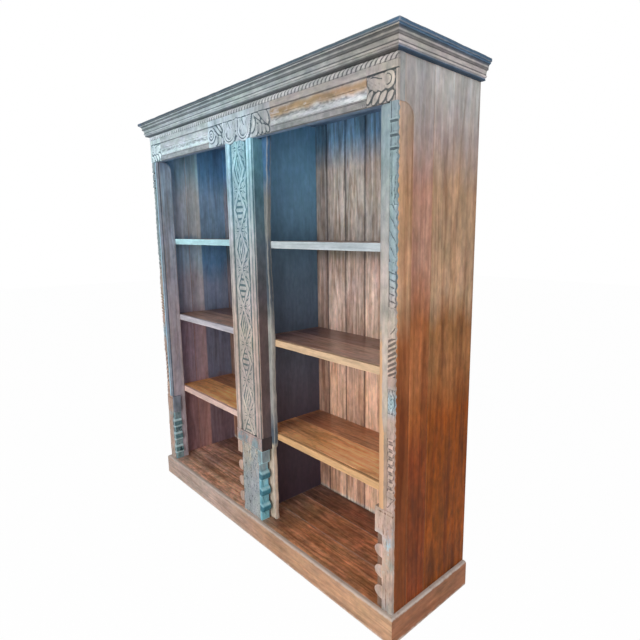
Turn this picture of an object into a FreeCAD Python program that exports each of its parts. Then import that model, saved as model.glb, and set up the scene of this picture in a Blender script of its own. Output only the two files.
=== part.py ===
import FreeCAD, Part
import math
import os
import Sketcher

# Open two-bay bookcase: boards on a plinth, a carved front frame and a moulded cornice.
# Millimetres. +Z is up and the front faces -Y. The origin lies on the floor, under the
# middle of the whole piece.

SIZES = {
    # Overall
    "overall_height": 2000.0,
    "carcass_width": 1788.0,
    "carcass_depth": 434.0,
    # Plinth and floor
    "plinth_height": 103.0,
    "plinth_stock": 16.0,
    "plinth_round": 9.0,
    "floor_stock": 22.0,
    "bearer_width": 45.0,
    "back_rail_stock": 18.0,
    # Carcass boards
    "side_stock": 24.0,
    "side_front_reach": 177.0,
    "side_tongue_stock": 8.0,
    "side_tongue_reach": 7.0,
    "divider_stock": 27.0,
    "top_stock": 22.0,
    "housing_depth": 7.0,
    "back_stock": 18.0,
    "back_recess": 2.0,
    "back_rabbet": 12.0,
    "plank_first": 88.0,
    "plank_lap": 8.0,
    # Nails through the planks
    "nail_head_radius": 4.0,
    "nail_head_stock": 1.4,
    "nail_radius": 1.4,
    "nail_reach": 42.0,
    "nail_clearance": 0.1,
    # Shelves: tops above the floor boards, a little uneven from bay to bay
    "shelf_left_lower": 433.0,
    "shelf_left_middle": 860.0,
    "shelf_left_upper": 1288.0,
    "shelf_right_lower": 419.0,
    "shelf_right_middle": 855.0,
    "shelf_right_upper": 1283.0,
    "shelf_stock": 30.0,
    "lip_depth": 18.0,
    # Front frame
    "frame_depth": 76.0,
    "facing_stock": 12.0,
    "post_width": 71.0,
    "rail_width": 40.0,
    "rail_edge": 4.0,
    "post_block_height": 385.0,
    # Scalloped strips
    "lobe_pitch": 80.0,
    "lobe_first": 64.0,
    "lobe_chord": 48.0,
    "strip_depth": 44.0,
    "strip_neck": 3.0,
    "strip_shoulder": 288.0,
    "post_strip_rise": 12.0,
    "base_strip_rise": 32.0,
    # Header
    "header_height": 134.0,
    "header_stock": 22.0,
    "rope_height": 22.0,
    "rope_edge": 6.0,
    "rope_projection": 4.0,
    "bead_height": 26.0,
    "bead_edge": 5.0,
    "frieze_fillet": 9.0,
    "frieze_hollow": 5.0,
    "cartouche_width": 490.0,
    "petal_width": 106.0,
    "petal_drop": 10.0,
    "petal_round": 50.0,
    "petal_inset": 12.0,
    "relief": 8.0,
    "scroll_radius": 38.0,
    "leaf_width": 130.0,
    "leaf_radius": 44.0,
    # Pilaster
    "pilaster_width": 204.0,
    "pilaster_rail_left": 34.0,
    "pilaster_rail_right": 52.0,
    "rail_round": 4.0,
    "panel_recess": 4.0,
    "pilaster_foot": 510.0,
    "collar_height": 60.0,
    "collar_overhang": 3.0,
    "base_width": 140.0,
    "base_setback": 3.0,
    "backing_width": 270.0,
    "backing_stock": 20.0,
    # Cornice
    "cornice_height": 66.0,
    "cornice_projection": 43.0,
    "cornice_inset": 24.0,
    "cornice_back_stock": 24.0,
    "slab_stock": 12.0,
    "block_side": 40.0,
    # Cutters reach this far past the wood
    "overrun": 2.0,
}

PLANKS_PER_BAY = 7
SHELVES = ("lower", "middle", "upper")
FLOOR_BOARDS = ("front", "middle", "rear")
LOBES = 3
BEARERS = 5
SIDES = {"left": -1, "right": 1}
# Cornice moulding, top to bottom: projection and height as shares of the moulding's own.
CORNICE_SHARES = {
    "top_fillet_out_share": 0.84,
    "top_fillet_low_share": 0.92,
    "upper_cove_out_share": 0.64,
    "upper_cove_low_share": 0.67,
    "middle_fillet_low_share": 0.59,
    "lower_cove_out_share": 0.45,
    "lower_cove_low_share": 0.31,
    "bead_out_share": 0.49,
    "bead_low_share": 0.17,
    "foot_out_share": 0.40,
}
COVE_RADIUS_SHARE = 0.62
SCROLL_PLACE_SHARE = 0.34
BLOCK_PLACE_SHARES = (-0.36, 0.0, 0.36)


class Dim:
    """A length: its value in millimetres and the sheet formula that gives it."""

    def __init__(self, value, text):
        self.value = value
        self.text = text

    def __add__(self, other):
        return Dim(self.value + other.value, "(%s + %s)" % (self.text, other.text))

    def __sub__(self, other):
        return Dim(self.value - other.value, "(%s - %s)" % (self.text, other.text))

    def __neg__(self):
        return Dim(-self.value, "(-1 * %s)" % self.text)

    def __mul__(self, other):
        if isinstance(other, Dim):
            return Dim(self.value * other.value, "(%s * %s)" % (self.text, other.text))
        return Dim(self.value * other, "(%s * %s)" % (self.text, other))

    def __truediv__(self, other):
        if isinstance(other, Dim):
            return Dim(self.value / other.value, "(%s / %s)" % (self.text, other.text))
        return Dim(self.value / other, "(%s / %s)" % (self.text, other))


ZERO = Dim(0.0, "0")

doc = FreeCAD.newDocument("Bookcase")
sheet = doc.addObject("Spreadsheet::Sheet", "Sizes")
for row, (alias, value) in enumerate(SIZES.items(), 1):
    sheet.set("A%d" % row, alias)
    sheet.set("B%d" % row, str(value))
    sheet.setAlias("B%d" % row, alias)
doc.recompute()


def size(alias):
    """A driving dimension, read back from the sheet."""
    return Dim(float(getattr(sheet, alias)), "Sizes." + alias)


def place(piece, x, y, z, turn=0):
    """Put a piece at a point, turned about the vertical by some degrees."""
    upright = FreeCAD.Vector(0, 0, 1)
    piece.Placement = FreeCAD.Placement(FreeCAD.Vector(), FreeCAD.Rotation(upright, turn))
    for axis, coordinate in zip("xyz", (x, y, z)):
        piece.setExpression("Placement.Base." + axis, coordinate.text)
    return piece


def box(label, x, y, z):
    """A board between two corners: x, y and z are each a low and a high size."""
    board = doc.addObject("Part::Box", label)
    for edge, (low, high) in zip(("Length", "Width", "Height"), (x, y, z)):
        board.setExpression(edge, (high - low).text)
    return place(board, x[0], y[0], z[0])


def cylinder(label, radius, length, x, y, z, axis):
    """A cylinder from a point along the X or the Y axis."""
    turns = {"x": FreeCAD.Rotation(FreeCAD.Vector(0, 1, 0), 90),
             "y": FreeCAD.Rotation(FreeCAD.Vector(1, 0, 0), -90)}
    peg = doc.addObject("Part::Cylinder", label)
    peg.setExpression("Radius", radius.text)
    peg.setExpression("Height", length.text)
    place(peg, x, y, z)
    peg.Placement = FreeCAD.Placement(FreeCAD.Vector(), turns[axis])
    return peg


def fuse(label, pieces):
    joined = doc.addObject("Part::MultiFuse", label)
    joined.Shapes = pieces
    joined.Refine = True
    return joined


def group(label, pieces):
    """Separate like pieces that share one node."""
    together = doc.addObject("Part::Compound", label)
    together.Links = pieces
    return together


def cut(label, base, tools):
    trimmed = doc.addObject("Part::Cut", label)
    trimmed.Base = base
    trimmed.Tool = tools[0] if len(tools) == 1 else group(label + "_tools", tools)
    trimmed.Refine = True
    return trimmed


def bow_radius(chord, rise):
    """Radius of an arc from its chord and its rise."""
    return (chord * chord / 4 + rise * rise) / (rise * 2)


def arc_between(start, end, radius, bulge, major):
    """Arc geometry from start to end; bulge 1 swells to the left of the way, -1 to the right.

    Returns the arc and whether it runs from start to end in its own direction.
    """
    across = end - start
    left = FreeCAD.Vector(-across.y, across.x, 0).normalize()
    reach = math.sqrt(max(radius * radius - across.Length * across.Length / 4, 0.0))
    side = bulge if major else -bulge
    centre = (start + end) / 2 + left * (side * reach)
    circle = Part.Circle(centre, FreeCAD.Vector(0, 0, 1), radius)
    first = math.atan2(start.y - centre.y, start.x - centre.x)
    last = math.atan2(end.y - centre.y, end.x - centre.x)
    forward = bulge < 0
    if not forward:
        first, last = last, first
    if last < first:
        last += 2 * math.pi
    return Part.ArcOfCircle(circle, first, last), forward


def profile(label, role, outline, length):
    """A body padded from a closed outline on one of its own origin planes.

    A corner is (u, v), reached by a straight edge, or (u, v, radius, bulge, major), reached
    by an arc. Every corner and radius is bound to the sheet.
    """
    body = doc.addObject("PartDesign::Body", label)
    sketch = body.newObject("Sketcher::SketchObject", label + "_outline")
    plane = [item for item in body.Origin.OriginFeatures if item.Role == role][0]
    sketch.AttachmentSupport = [(plane, "")]
    sketch.MapMode = "FlatFace"
    corners = [FreeCAD.Vector(corner[0].value, corner[1].value, 0) for corner in outline]
    ends = []
    for index, corner in enumerate(outline):
        start = corners[index - 1]
        end = corners[index]
        if len(corner) == 2:
            edge = sketch.addGeometry(Part.LineSegment(start, end), False)
            ends.append((edge, 1, 2))
        else:
            radius, bulge, major = corner[2:]
            arc, forward = arc_between(start, end, radius.value, bulge, major)
            edge = sketch.addGeometry(arc, False)
            ends.append((edge, 1, 2) if forward else (edge, 2, 1))
    for index, (edge, first, last) in enumerate(ends):
        following = ends[(index + 1) % len(ends)]
        sketch.addConstraint(
            Sketcher.Constraint("Coincident", edge, last, following[0], following[1]))
    for corner, (edge, first, last) in zip(outline, ends):
        for kind, axis, coordinate in (("DistanceX", -2, corner[0]), ("DistanceY", -1, corner[1])):
            if coordinate is ZERO:
                sketch.addConstraint(Sketcher.Constraint("PointOnObject", edge, last, axis))
                continue
            bound = sketch.addConstraint(
                Sketcher.Constraint(kind, -1, 1, edge, last, coordinate.value))
            sketch.setExpression("Constraints[%d]" % bound, coordinate.text)
        if len(corner) > 2:
            bound = sketch.addConstraint(
                Sketcher.Constraint("Radius", edge, corner[2].value))
            sketch.setExpression("Constraints[%d]" % bound, corner[2].text)
    pad = body.newObject("PartDesign::Pad", label + "_pad")
    pad.Profile = sketch
    pad.setExpression("Length", length.text)
    return body


# Planes and levels that the pieces share
half_width = size("carcass_width") / 2
back = (size("carcass_depth") + size("cornice_projection")) / 2
front = back - size("carcass_depth")
floor_top = size("plinth_height")
plank_rear = back - size("back_recess")
plank_front = plank_rear - size("back_stock")
shelf_front = front + size("frame_depth")
side_inner = half_width - size("side_stock")
facing_back = front + size("facing_stock")
header_rear = facing_back + size("header_stock")
cornice_foot = size("overall_height") - size("cornice_height")
header_foot = cornice_foot - size("header_height")
slab_foot = size("overall_height") - size("slab_stock")
ceiling = cornice_foot - size("top_stock")
divider_half = size("divider_stock") / 2
overrun = size("overrun")


def shelf_level(side, name):
    """The underside and the top of a shelf."""
    top = floor_top + size("shelf_%s_%s" % (side, name))
    return top - size("shelf_stock"), top


def span(side, inner, outer):
    """A low and a high X on one side, from the distances off the middle."""
    if SIDES[side] > 0:
        return inner, outer
    return -outer, -inner


# Plinth: skirting boards mitred at the front corners, with a rounded top edge
def plinth_section():
    stock = size("plinth_stock")
    tall = size("plinth_height")
    soft = size("plinth_round")
    return [(ZERO, ZERO), (stock, ZERO), (stock, tall - soft),
            (stock - soft, tall, soft, -1, False), (ZERO, tall)]


def mitre(label, x, y, z, reach, turn):
    """A square cutter whose corner stands on the mitre line."""
    cutter = box(label, (ZERO, reach * 2), (ZERO, reach * 2), (ZERO, z[1] - z[0] + overrun * 2))
    return place(cutter, x, y, z[0] - overrun, turn)


def mitred_set(stem, section, inset, projection, z):
    """Front, left and right mouldings of one section, mitred where they meet."""
    reach = inset + projection
    corner_y = front + inset
    corner_x = half_width - inset
    along = (half_width + projection) * 2
    deep = size("carcass_depth") + projection
    bar = place(profile(stem + "_front_bar", "YZ_Plane", section, along),
                half_width + projection, corner_y, z[0], 180)
    cut(stem + "_front", bar, [
        mitre(stem + "_front_mitre_right", corner_x, corner_y, z, reach, -45),
        mitre(stem + "_front_mitre_left", -corner_x, corner_y, z, reach, 135)])
    bar = place(profile(stem + "_right_bar", "YZ_Plane", section, deep), corner_x, back, z[0], -90)
    cut(stem + "_right", bar, [mitre(stem + "_right_mitre", corner_x, corner_y, z, reach, 225)])
    bar = place(profile(stem + "_left_bar", "YZ_Plane", section, deep),
                -corner_x, front - projection, z[0], 90)
    cut(stem + "_left", bar, [mitre(stem + "_left_mitre", -corner_x, corner_y, z, reach, 225)])


mitred_set("plinth", plinth_section(), ZERO, size("plinth_stock"), (ZERO, floor_top))

# Floor boards on bearers, inside the plinth
floor_foot = floor_top - size("floor_stock")
board_depth = size("carcass_depth") / len(FLOOR_BOARDS)
for step, name in enumerate(FLOOR_BOARDS):
    near = front + board_depth * step
    box("floor_board_" + name, (-half_width, half_width), (near, near + board_depth),
        (floor_foot, floor_top))
box("plinth_back", (-half_width, half_width), (back - size("back_rail_stock"), back),
    (ZERO, floor_foot))
bearer_pitch = (size("carcass_width") - size("bearer_width")) / (BEARERS - 1)
bearers = []
for step in range(BEARERS):
    near = bearer_pitch * step - half_width
    bearers.append(box("floor_bearer_%d" % (step + 1), (near, near + size("bearer_width")),
                       (front, back - size("back_rail_stock")), (ZERO, floor_foot)))
group("floor_bearers", bearers)


# Nails hold each plank to the shelves and to the top panel
plank_reach = half_width - size("back_rabbet")
plank_pitch = (plank_reach - size("plank_first")) / (PLANKS_PER_BAY - 1)


def plank_edges(step):
    """Distances off the middle of a plank's two edges."""
    outer = size("plank_first") + plank_pitch * step
    inner = outer - plank_pitch if step else ZERO
    return inner, outer


def nail_levels(side):
    levels = [shelf_level(side, name)[0] + size("shelf_stock") / 2 for name in SHELVES]
    return levels + [ceiling + size("top_stock") / 2]


def nail_shape(radius, head_radius):
    """All the nails in one shape, with or without their heads."""
    pieces = []
    into = FreeCAD.Vector(0, -1, 0)
    for side in SIDES:
        for step in range(PLANKS_PER_BAY):
            inner, outer = plank_edges(step)
            for level in nail_levels(side):
                middle = (inner + outer) / 2 * SIDES[side]
                spot = FreeCAD.Vector(middle.value, plank_rear.value, level.value)
                shank = Part.makeCylinder(radius, size("nail_reach").value, spot, into)
                if head_radius:
                    head = Part.makeCylinder(head_radius, size("nail_head_stock").value, spot, -into)
                    shank = shank.fuse(head).removeSplitter().Solids[0]
                pieces.append(shank)
    return Part.makeCompound(pieces)


def feature(label, shape):
    piece = doc.addObject("Part::Feature", label)
    piece.Shape = shape
    piece.Placement = FreeCAD.Placement()
    return piece


nail_radius = size("nail_radius").value
feature("back_nails", nail_shape(nail_radius, size("nail_head_radius").value))
nail_holes = feature("nail_holes", nail_shape(nail_radius + size("nail_clearance").value, 0.0))


# Sides: a front and a rear board each, tongued together and housed for the shelves
def housings(label, side, inner, outer, y):
    """Grooves for the three shelves, cut into a face that looks into a bay."""
    return [box("%s_housing_%s" % (label, name), span(side, inner, outer), y,
                shelf_level(side, name)) for name in SHELVES]


arch = size("frame_depth") - size("facing_stock") - size("header_stock")
side_joint = front + size("side_front_reach")
housed = side_inner + size("housing_depth")
tongue_inner = half_width - size("side_stock") / 2 - size("side_tongue_stock") / 2
tongue_outer = tongue_inner + size("side_tongue_stock")


def side_boards(side):
    across = span(side, side_inner, half_width)
    tongue_x = span(side, tongue_inner, tongue_outer)
    tongue_tip = side_joint + size("side_tongue_reach")
    label = "side_board_front_" + side
    main = box(label + "_main", across, (shelf_front, side_joint), (floor_top, cornice_foot))
    head = box(label + "_head", across, (header_rear, shelf_front), (header_foot - arch, cornice_foot))
    tongue = box(label + "_tongue", tongue_x, (side_joint, tongue_tip), (floor_top, cornice_foot))
    arch_cut = cylinder(label + "_arch", arch, size("side_stock"), across[0], header_rear,
                        header_foot - arch, "x")
    grooves = housings(label, side, side_inner, housed, (shelf_front, tongue_tip))
    grooves.append(box(label + "_top_rabbet", span(side, side_inner, housed),
                       (header_rear, tongue_tip), (ceiling, cornice_foot)))
    cut(label, fuse(label + "_blank", [main, head, tongue]), [arch_cut] + grooves)
    label = "side_board_rear_" + side
    main = box(label + "_main", across, (side_joint, back), (floor_top, cornice_foot))
    groove = box(label + "_groove", tongue_x, (side_joint, tongue_tip), (floor_top, cornice_foot))
    rabbet = box(label + "_rabbet", span(side, side_inner, plank_reach), (plank_front, back),
                 (floor_top, cornice_foot))
    grooves = housings(label, side, side_inner, housed, (side_joint, plank_front))
    grooves.append(box(label + "_top_rabbet", span(side, side_inner, housed),
                       (side_joint, plank_front), (ceiling, cornice_foot)))
    cut(label, main, [fuse(label + "_waste", [groove, rabbet] + grooves)])


# Corner posts: the outer top edge is arched and let into the side board
def corner_post(side):
    label = "corner_post_" + side
    across = span(side, half_width - size("post_width"), half_width)
    blank = box(label + "_blank", across, (facing_back, shelf_front), (floor_top, header_foot))
    outside = span(side, side_inner, half_width)
    corner = box(label + "_corner", outside, (header_rear, shelf_front),
                 (header_foot - arch, header_foot))
    round_top = cylinder(label + "_round", arch, size("side_stock"), outside[0], header_rear,
                         header_foot - arch, "x")
    cut(label, blank, [cut(label + "_spandrel", corner, [round_top])])


# Facings of a post: half-round rail, carved strip, base block and scalloped strip
def post_facings(side):
    inner = half_width - size("post_width")
    seam = inner + size("rail_width")
    block_top = floor_top + size("post_block_height")
    rise = size("facing_stock") - size("rail_edge")
    wide = size("rail_width")
    section = [(ZERO, ZERO), (wide, ZERO), (wide, size("rail_edge")),
               (ZERO, size("rail_edge"), bow_radius(wide, rise), -1, False)]
    rail = profile("post_rail_" + side, "XY_Plane", section, header_foot - block_top)
    place(rail, span(side, inner, seam)[1], facing_back, block_top, 180)
    box("carved_strip_" + side, span(side, seam, half_width), (front, facing_back),
        (block_top, header_foot))
    box("post_block_" + side, span(side, inner, half_width), (front, facing_back),
        (floor_top, block_top))
    strip = scallop_strip("post_scallop_" + side, size("post_strip_rise"), size("post_block_height"))
    place_strip(strip, side, inner, -1)


def scallop_strip(label, rise, tall):
    """A strip with round lobes below a straight shoulder, drawn on the XZ plane."""
    neck = size("strip_neck")
    radius = bow_radius(size("lobe_chord"), rise - neck)
    major = rise.value - neck.value > size("lobe_chord").value / 2
    outline = [(ZERO, ZERO), (neck, ZERO)]
    for step in range(LOBES):
        middle = size("lobe_first") + size("lobe_pitch") * step
        low = middle - size("lobe_chord") / 2
        outline.append((neck, low))
        outline.append((neck, low + size("lobe_chord"), radius, -1, major))
    shoulder = size("strip_shoulder")
    outline += [(neck, shoulder), (rise, shoulder), (rise, tall), (ZERO, tall)]
    return profile(label, "XZ_Plane", outline, size("strip_depth"))


def place_strip(strip, side, face, outward):
    """Stand a strip against a face that looks out of the middle (1) or into it (-1)."""
    x = face * SIDES[side]
    if SIDES[side] * outward > 0:
        place(strip, x, front + size("strip_depth"), floor_top)
    else:
        place(strip, x, front, floor_top, 180)


for side in SIDES:
    side_boards(side)
    corner_post(side)
    post_facings(side)

# Divider, top panel and shelves
divider_core = divider_half - size("housing_depth")
divider_cuts = []
for side in SIDES:
    divider_cuts += housings("centre_divider_" + side, side, divider_core, divider_half,
                             (shelf_front, plank_front))
cut("centre_divider", box("centre_divider_blank", (-divider_half, divider_half),
                          (shelf_front, plank_front), (floor_top, ceiling)), divider_cuts)
cut("top_panel", box("top_panel_blank", (-housed, housed), (header_rear, plank_front),
                     (ceiling, cornice_foot)), [nail_holes])
lip_rear = shelf_front + size("lip_depth")
for side in SIDES:
    lips = []
    for name in SHELVES:
        across = span(side, divider_core, housed)
        level = shelf_level(side, name)
        label = "shelf_%s_%s" % (side, name)
        cut(label, box(label + "_blank", across, (lip_rear, plank_front), level), [nail_holes])
        lips.append(box("lip_%s_%s" % (side, name), across, (shelf_front, lip_rear), level))
    group("shelf_lips_" + side, lips)


# Back planks, half-lapped from the middle outwards
def back_plank(side, step):
    inner, outer = plank_edges(step)
    wide = outer - inner
    stock = size("back_stock")
    half = stock / 2
    lap = size("plank_lap")
    bay_face, wall_face = (ZERO, stock) if SIDES[side] > 0 else (stock, ZERO)
    outline = [(wide, bay_face), (wide, half)]
    if step < PLANKS_PER_BAY - 1:
        outline += [(wide + lap, half), (wide + lap, wall_face)]
    else:
        outline.append((wide, wall_face))
    if step:
        outline += [(lap, wall_face), (lap, half), (ZERO, half)]
    else:
        outline.append((ZERO, wall_face))
    outline.append((ZERO, bay_face))
    plank = profile("plank_%s_%d" % (side, step + 1), "XY_Plane", outline, cornice_foot - floor_top)
    if SIDES[side] > 0:
        return place(plank, inner, plank_front, floor_top)
    return place(plank, -inner, plank_rear, floor_top, 180)


for side in SIDES:
    planks = [back_plank(side, step) for step in range(PLANKS_PER_BAY)]
    cut("back_planks_" + side, group("back_planks_%s_blank" % side, planks), [nail_holes])

# Pilaster on its backing board
pilaster_half = size("pilaster_width") / 2
backing_front = shelf_front - size("backing_stock")
backing_half = size("backing_width") / 2
box("backing_board", (-backing_half, backing_half), (backing_front, shelf_front),
    (floor_top, ceiling))
foot = size("pilaster_foot")
box("pilaster_core", (-pilaster_half, pilaster_half), (facing_back, backing_front),
    (foot, header_foot))
panel_left = size("pilaster_rail_left") - pilaster_half
panel_right = pilaster_half - size("pilaster_rail_right")
box("pilaster_panel", (panel_left, panel_right), (front + size("panel_recess"), facing_back),
    (foot, header_foot))


def pilaster_rail(side, x):
    wide = size("pilaster_rail_" + side)
    deep = size("facing_stock")
    soft = size("rail_round")
    section = [(ZERO, ZERO), (wide, ZERO), (wide, deep - soft),
               (wide - soft, deep, soft, -1, False), (soft, deep),
               (ZERO, deep - soft, soft, -1, False)]
    rail = profile("pilaster_rail_" + side, "XY_Plane", section, header_foot - foot)
    place(rail, x + wide, facing_back, foot, 180)


pilaster_rail("left", -pilaster_half)
pilaster_rail("right", panel_right)
collar_foot = foot - size("collar_height")
collar_half = pilaster_half + size("collar_overhang")
box("pilaster_collar", (-collar_half, collar_half),
    (front - size("collar_overhang"), backing_front), (collar_foot, foot))
base_half = size("base_width") / 2
box("pilaster_base", (-base_half, base_half), (front + size("base_setback"), backing_front),
    (floor_top, collar_foot))
for side in SIDES:
    strip = scallop_strip("base_scallop_" + side, size("base_strip_rise"), collar_foot - floor_top)
    place_strip(strip, side, base_half, 1)


# Header: a board across the posts, faced with mouldings and carved blocks
def bowed_section(tall, edge, thick):
    """A bar with a flat back and a round front."""
    return [(ZERO, ZERO), (edge, ZERO),
            (edge, tall, bow_radius(tall, thick - edge), -1, False), (ZERO, tall)]


def bar_along(label, section, x, z):
    """A moulding that runs across the front of the header board."""
    return place(profile(label, "YZ_Plane", section, x[1] - x[0]), x[1], facing_back, z, 180)


box("header_board", (-half_width, half_width), (facing_back, header_rear), (header_foot, cornice_foot))
rope_foot = cornice_foot - size("rope_height")
bar_along("rope_moulding",
          bowed_section(size("rope_height"), size("rope_edge"),
                        size("facing_stock") + size("rope_projection")),
          (-half_width, half_width), rope_foot)
bead_top = header_foot + size("bead_height")
cartouche_half = size("cartouche_width") / 2
leaf_inner = half_width - size("leaf_width")


def frieze_section():
    tall = rope_foot - bead_top
    thick = size("facing_stock")
    hollow = thick - size("frieze_hollow") / 2
    brow = tall - size("frieze_fillet")
    return [(ZERO, ZERO), (hollow, ZERO),
            (hollow, brow, bow_radius(brow, size("frieze_hollow")), 1, False),
            (thick, brow), (thick, tall), (ZERO, tall)]


def carved_block(label, x, reliefs):
    """A flat block between the mouldings with its raised carving."""
    block = box(label + "_block", x, (front, facing_back), (header_foot, rope_foot))
    fuse(label, [block] + reliefs)


def petal(label, x):
    """A lotus petal: straight sides, a round foot, hanging a little below the header."""
    wide = size("petal_width")
    tall = rope_foot - header_foot + size("petal_drop") - size("petal_inset")
    shoulder = size("petal_round")
    outline = [(ZERO, shoulder), (wide, shoulder, bow_radius(wide, shoulder), -1, False),
               (wide, tall), (ZERO, tall)]
    body = profile(label, "XZ_Plane", outline, size("relief"))
    return place(body, x, front, header_foot - size("petal_drop"))


for side in SIDES:
    across = span(side, cartouche_half, leaf_inner)
    bar_along("frieze_panel_" + side, frieze_section(), across, bead_top)
    bar_along("bead_rail_" + side,
              bowed_section(size("bead_height"), size("bead_edge"), size("facing_stock")),
              across, header_foot)
    middle = (leaf_inner + half_width) / 2 * SIDES[side]
    shell = cylinder("corner_leaf_%s_shell" % side, size("leaf_radius"), size("relief"), middle,
                     front - size("relief"), (header_foot + rope_foot) / 2, "y")
    carved_block("corner_leaf_" + side, span(side, leaf_inner, half_width), [shell])

reliefs = [petal("cartouche_petal_left", -size("petal_width")), petal("cartouche_petal_right", ZERO)]
for side in SIDES:
    reliefs.append(cylinder("cartouche_scroll_" + side, size("scroll_radius"), size("relief"),
                            size("cartouche_width") * (SCROLL_PLACE_SHARE * SIDES[side]),
                            front - size("relief"), (header_foot + rope_foot) / 2, "y"))
carved_block("cartouche", (-cartouche_half, cartouche_half), reliefs)


# Cornice: coved mouldings under a top slab
def cornice_section():
    inset = size("cornice_inset")
    tall = slab_foot - cornice_foot

    def out(edge):
        return inset + size("cornice_projection") * CORNICE_SHARES[edge + "_out_share"]

    def low(edge):
        return tall * CORNICE_SHARES[edge + "_low_share"]

    def cove(upper, upper_low, lower):
        fall = upper_low - low(lower)
        return (out(upper) - out(lower) + fall) * COVE_RADIUS_SHARE

    lower_radius = cove("upper_cove", low("middle_fillet"), "lower_cove")
    upper_radius = cove("top_fillet", low("top_fillet"), "upper_cove")
    bead = bow_radius(low("lower_cove") - low("bead"), out("bead") - out("lower_cove"))
    return [(ZERO, ZERO), (out("foot"), ZERO), (out("foot"), low("bead")),
            (out("lower_cove"), low("bead")),
            (out("lower_cove"), low("lower_cove"), bead, -1, False),
            (out("upper_cove"), low("middle_fillet"), lower_radius, 1, False),
            (out("upper_cove"), low("upper_cove")),
            (out("top_fillet"), low("top_fillet"), upper_radius, 1, False),
            (out("top_fillet"), tall), (ZERO, tall)]


mitred_set("cornice", cornice_section(), size("cornice_inset"), size("cornice_projection"),
           (cornice_foot, slab_foot))
cornice_inner = half_width - size("cornice_inset")
box("cornice_back", (-cornice_inner, cornice_inner), (back - size("cornice_back_stock"), back),
    (cornice_foot, slab_foot))
block_half = size("block_side") / 2
block_rear = front + size("cornice_inset")
blocks = []
for step, share in enumerate(BLOCK_PLACE_SHARES):
    middle = size("carcass_width") * share
    blocks.append(box("cornice_block_%d" % (step + 1), (middle - block_half, middle + block_half),
                      (block_rear, block_rear + size("block_side")), (cornice_foot, slab_foot)))
for side in SIDES:
    blocks.append(box("cornice_block_" + side,
                      span(side, cornice_inner - size("block_side"), cornice_inner),
                      (-block_half, block_half), (cornice_foot, slab_foot)))
group("cornice_blocks", blocks)
slab_half = half_width + size("cornice_projection")
box("top_slab", (-slab_half, slab_half), (front - size("cornice_projection"), back),
    (slab_foot, size("overall_height")))

# The nodes, each checked and written to a file of its own
doc.recompute()
NODES = (
    ["plinth_front", "plinth_left", "plinth_right", "plinth_back", "floor_bearers"]
    + ["floor_board_" + name for name in FLOOR_BOARDS]
    + ["side_board_%s_%s" % (place_word, side) for place_word in ("front", "rear") for side in SIDES]
    + ["centre_divider", "top_panel", "back_planks_left", "back_planks_right", "back_nails"]
    + ["shelf_%s_%s" % (side, name) for side in SIDES for name in SHELVES]
    + ["%s_%s" % (stem, side) for side in SIDES for stem in (
        "shelf_lips", "corner_post", "post_rail", "carved_strip", "post_block", "post_scallop",
        "frieze_panel", "bead_rail", "corner_leaf", "pilaster_rail", "base_scallop")]
    + ["header_board", "rope_moulding", "cartouche", "backing_board", "pilaster_core",
       "pilaster_panel", "pilaster_collar", "pilaster_base"]
    + ["cornice_front", "cornice_left", "cornice_right", "cornice_back", "cornice_blocks", "top_slab"]
)
for item in doc.Objects:
    if "Invalid" in item.State or "Error" in item.State:
        raise RuntimeError("object failed: " + item.Name)
for node in NODES:
    shape = doc.getObject(node).Shape
    if shape.isNull() or not shape.isValid() or not shape.Solids:
        raise RuntimeError("no sound solid: " + node)
os.makedirs("parts", exist_ok=True)
for node in NODES:
    doc.getObject(node).Shape.exportStep("parts/%s.step" % node)
print(len(NODES), "nodes written")
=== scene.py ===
import itertools
import math

import bmesh
import bpy
import numpy as np
from bpy.props import FloatProperty, FloatVectorProperty, PointerProperty
from bpy.types import Operator, Panel, PropertyGroup
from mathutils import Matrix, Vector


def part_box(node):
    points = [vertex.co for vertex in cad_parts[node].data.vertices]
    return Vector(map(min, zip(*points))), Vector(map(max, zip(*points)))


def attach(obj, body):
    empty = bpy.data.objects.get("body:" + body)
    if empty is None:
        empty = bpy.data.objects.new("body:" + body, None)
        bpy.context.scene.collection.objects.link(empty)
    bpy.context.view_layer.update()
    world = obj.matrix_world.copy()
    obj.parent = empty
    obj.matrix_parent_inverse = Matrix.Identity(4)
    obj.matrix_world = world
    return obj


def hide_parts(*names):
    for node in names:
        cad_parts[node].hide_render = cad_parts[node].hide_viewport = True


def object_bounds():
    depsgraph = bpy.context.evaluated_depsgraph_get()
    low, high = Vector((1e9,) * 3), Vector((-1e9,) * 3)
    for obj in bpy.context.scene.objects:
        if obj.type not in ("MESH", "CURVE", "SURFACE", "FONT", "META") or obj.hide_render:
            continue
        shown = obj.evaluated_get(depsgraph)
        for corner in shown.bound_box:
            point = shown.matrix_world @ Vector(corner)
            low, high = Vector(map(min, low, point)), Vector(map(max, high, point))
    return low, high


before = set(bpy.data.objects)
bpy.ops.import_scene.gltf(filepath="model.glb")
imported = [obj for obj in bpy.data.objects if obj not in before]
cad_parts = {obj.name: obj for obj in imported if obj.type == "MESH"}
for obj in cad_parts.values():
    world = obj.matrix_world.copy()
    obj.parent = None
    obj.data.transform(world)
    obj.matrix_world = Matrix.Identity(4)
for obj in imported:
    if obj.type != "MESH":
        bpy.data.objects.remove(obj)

bl_info = {
    "name": "Reclaimed Bookcase",
    "version": (1, 0, 0),
    "blender": (4, 5, 0),
    "location": "3D View > Sidebar > Bookcase",
    "description": "Dresses a two-bay bookcase with worn boards, carving and old paint",
    "category": "Object",
}

MM = 0.001
SIDES = {"left": -1, "right": 1}
SHELVES = ("lower", "middle", "upper")
WHITE = (1.0, 1.0, 1.0)

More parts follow.
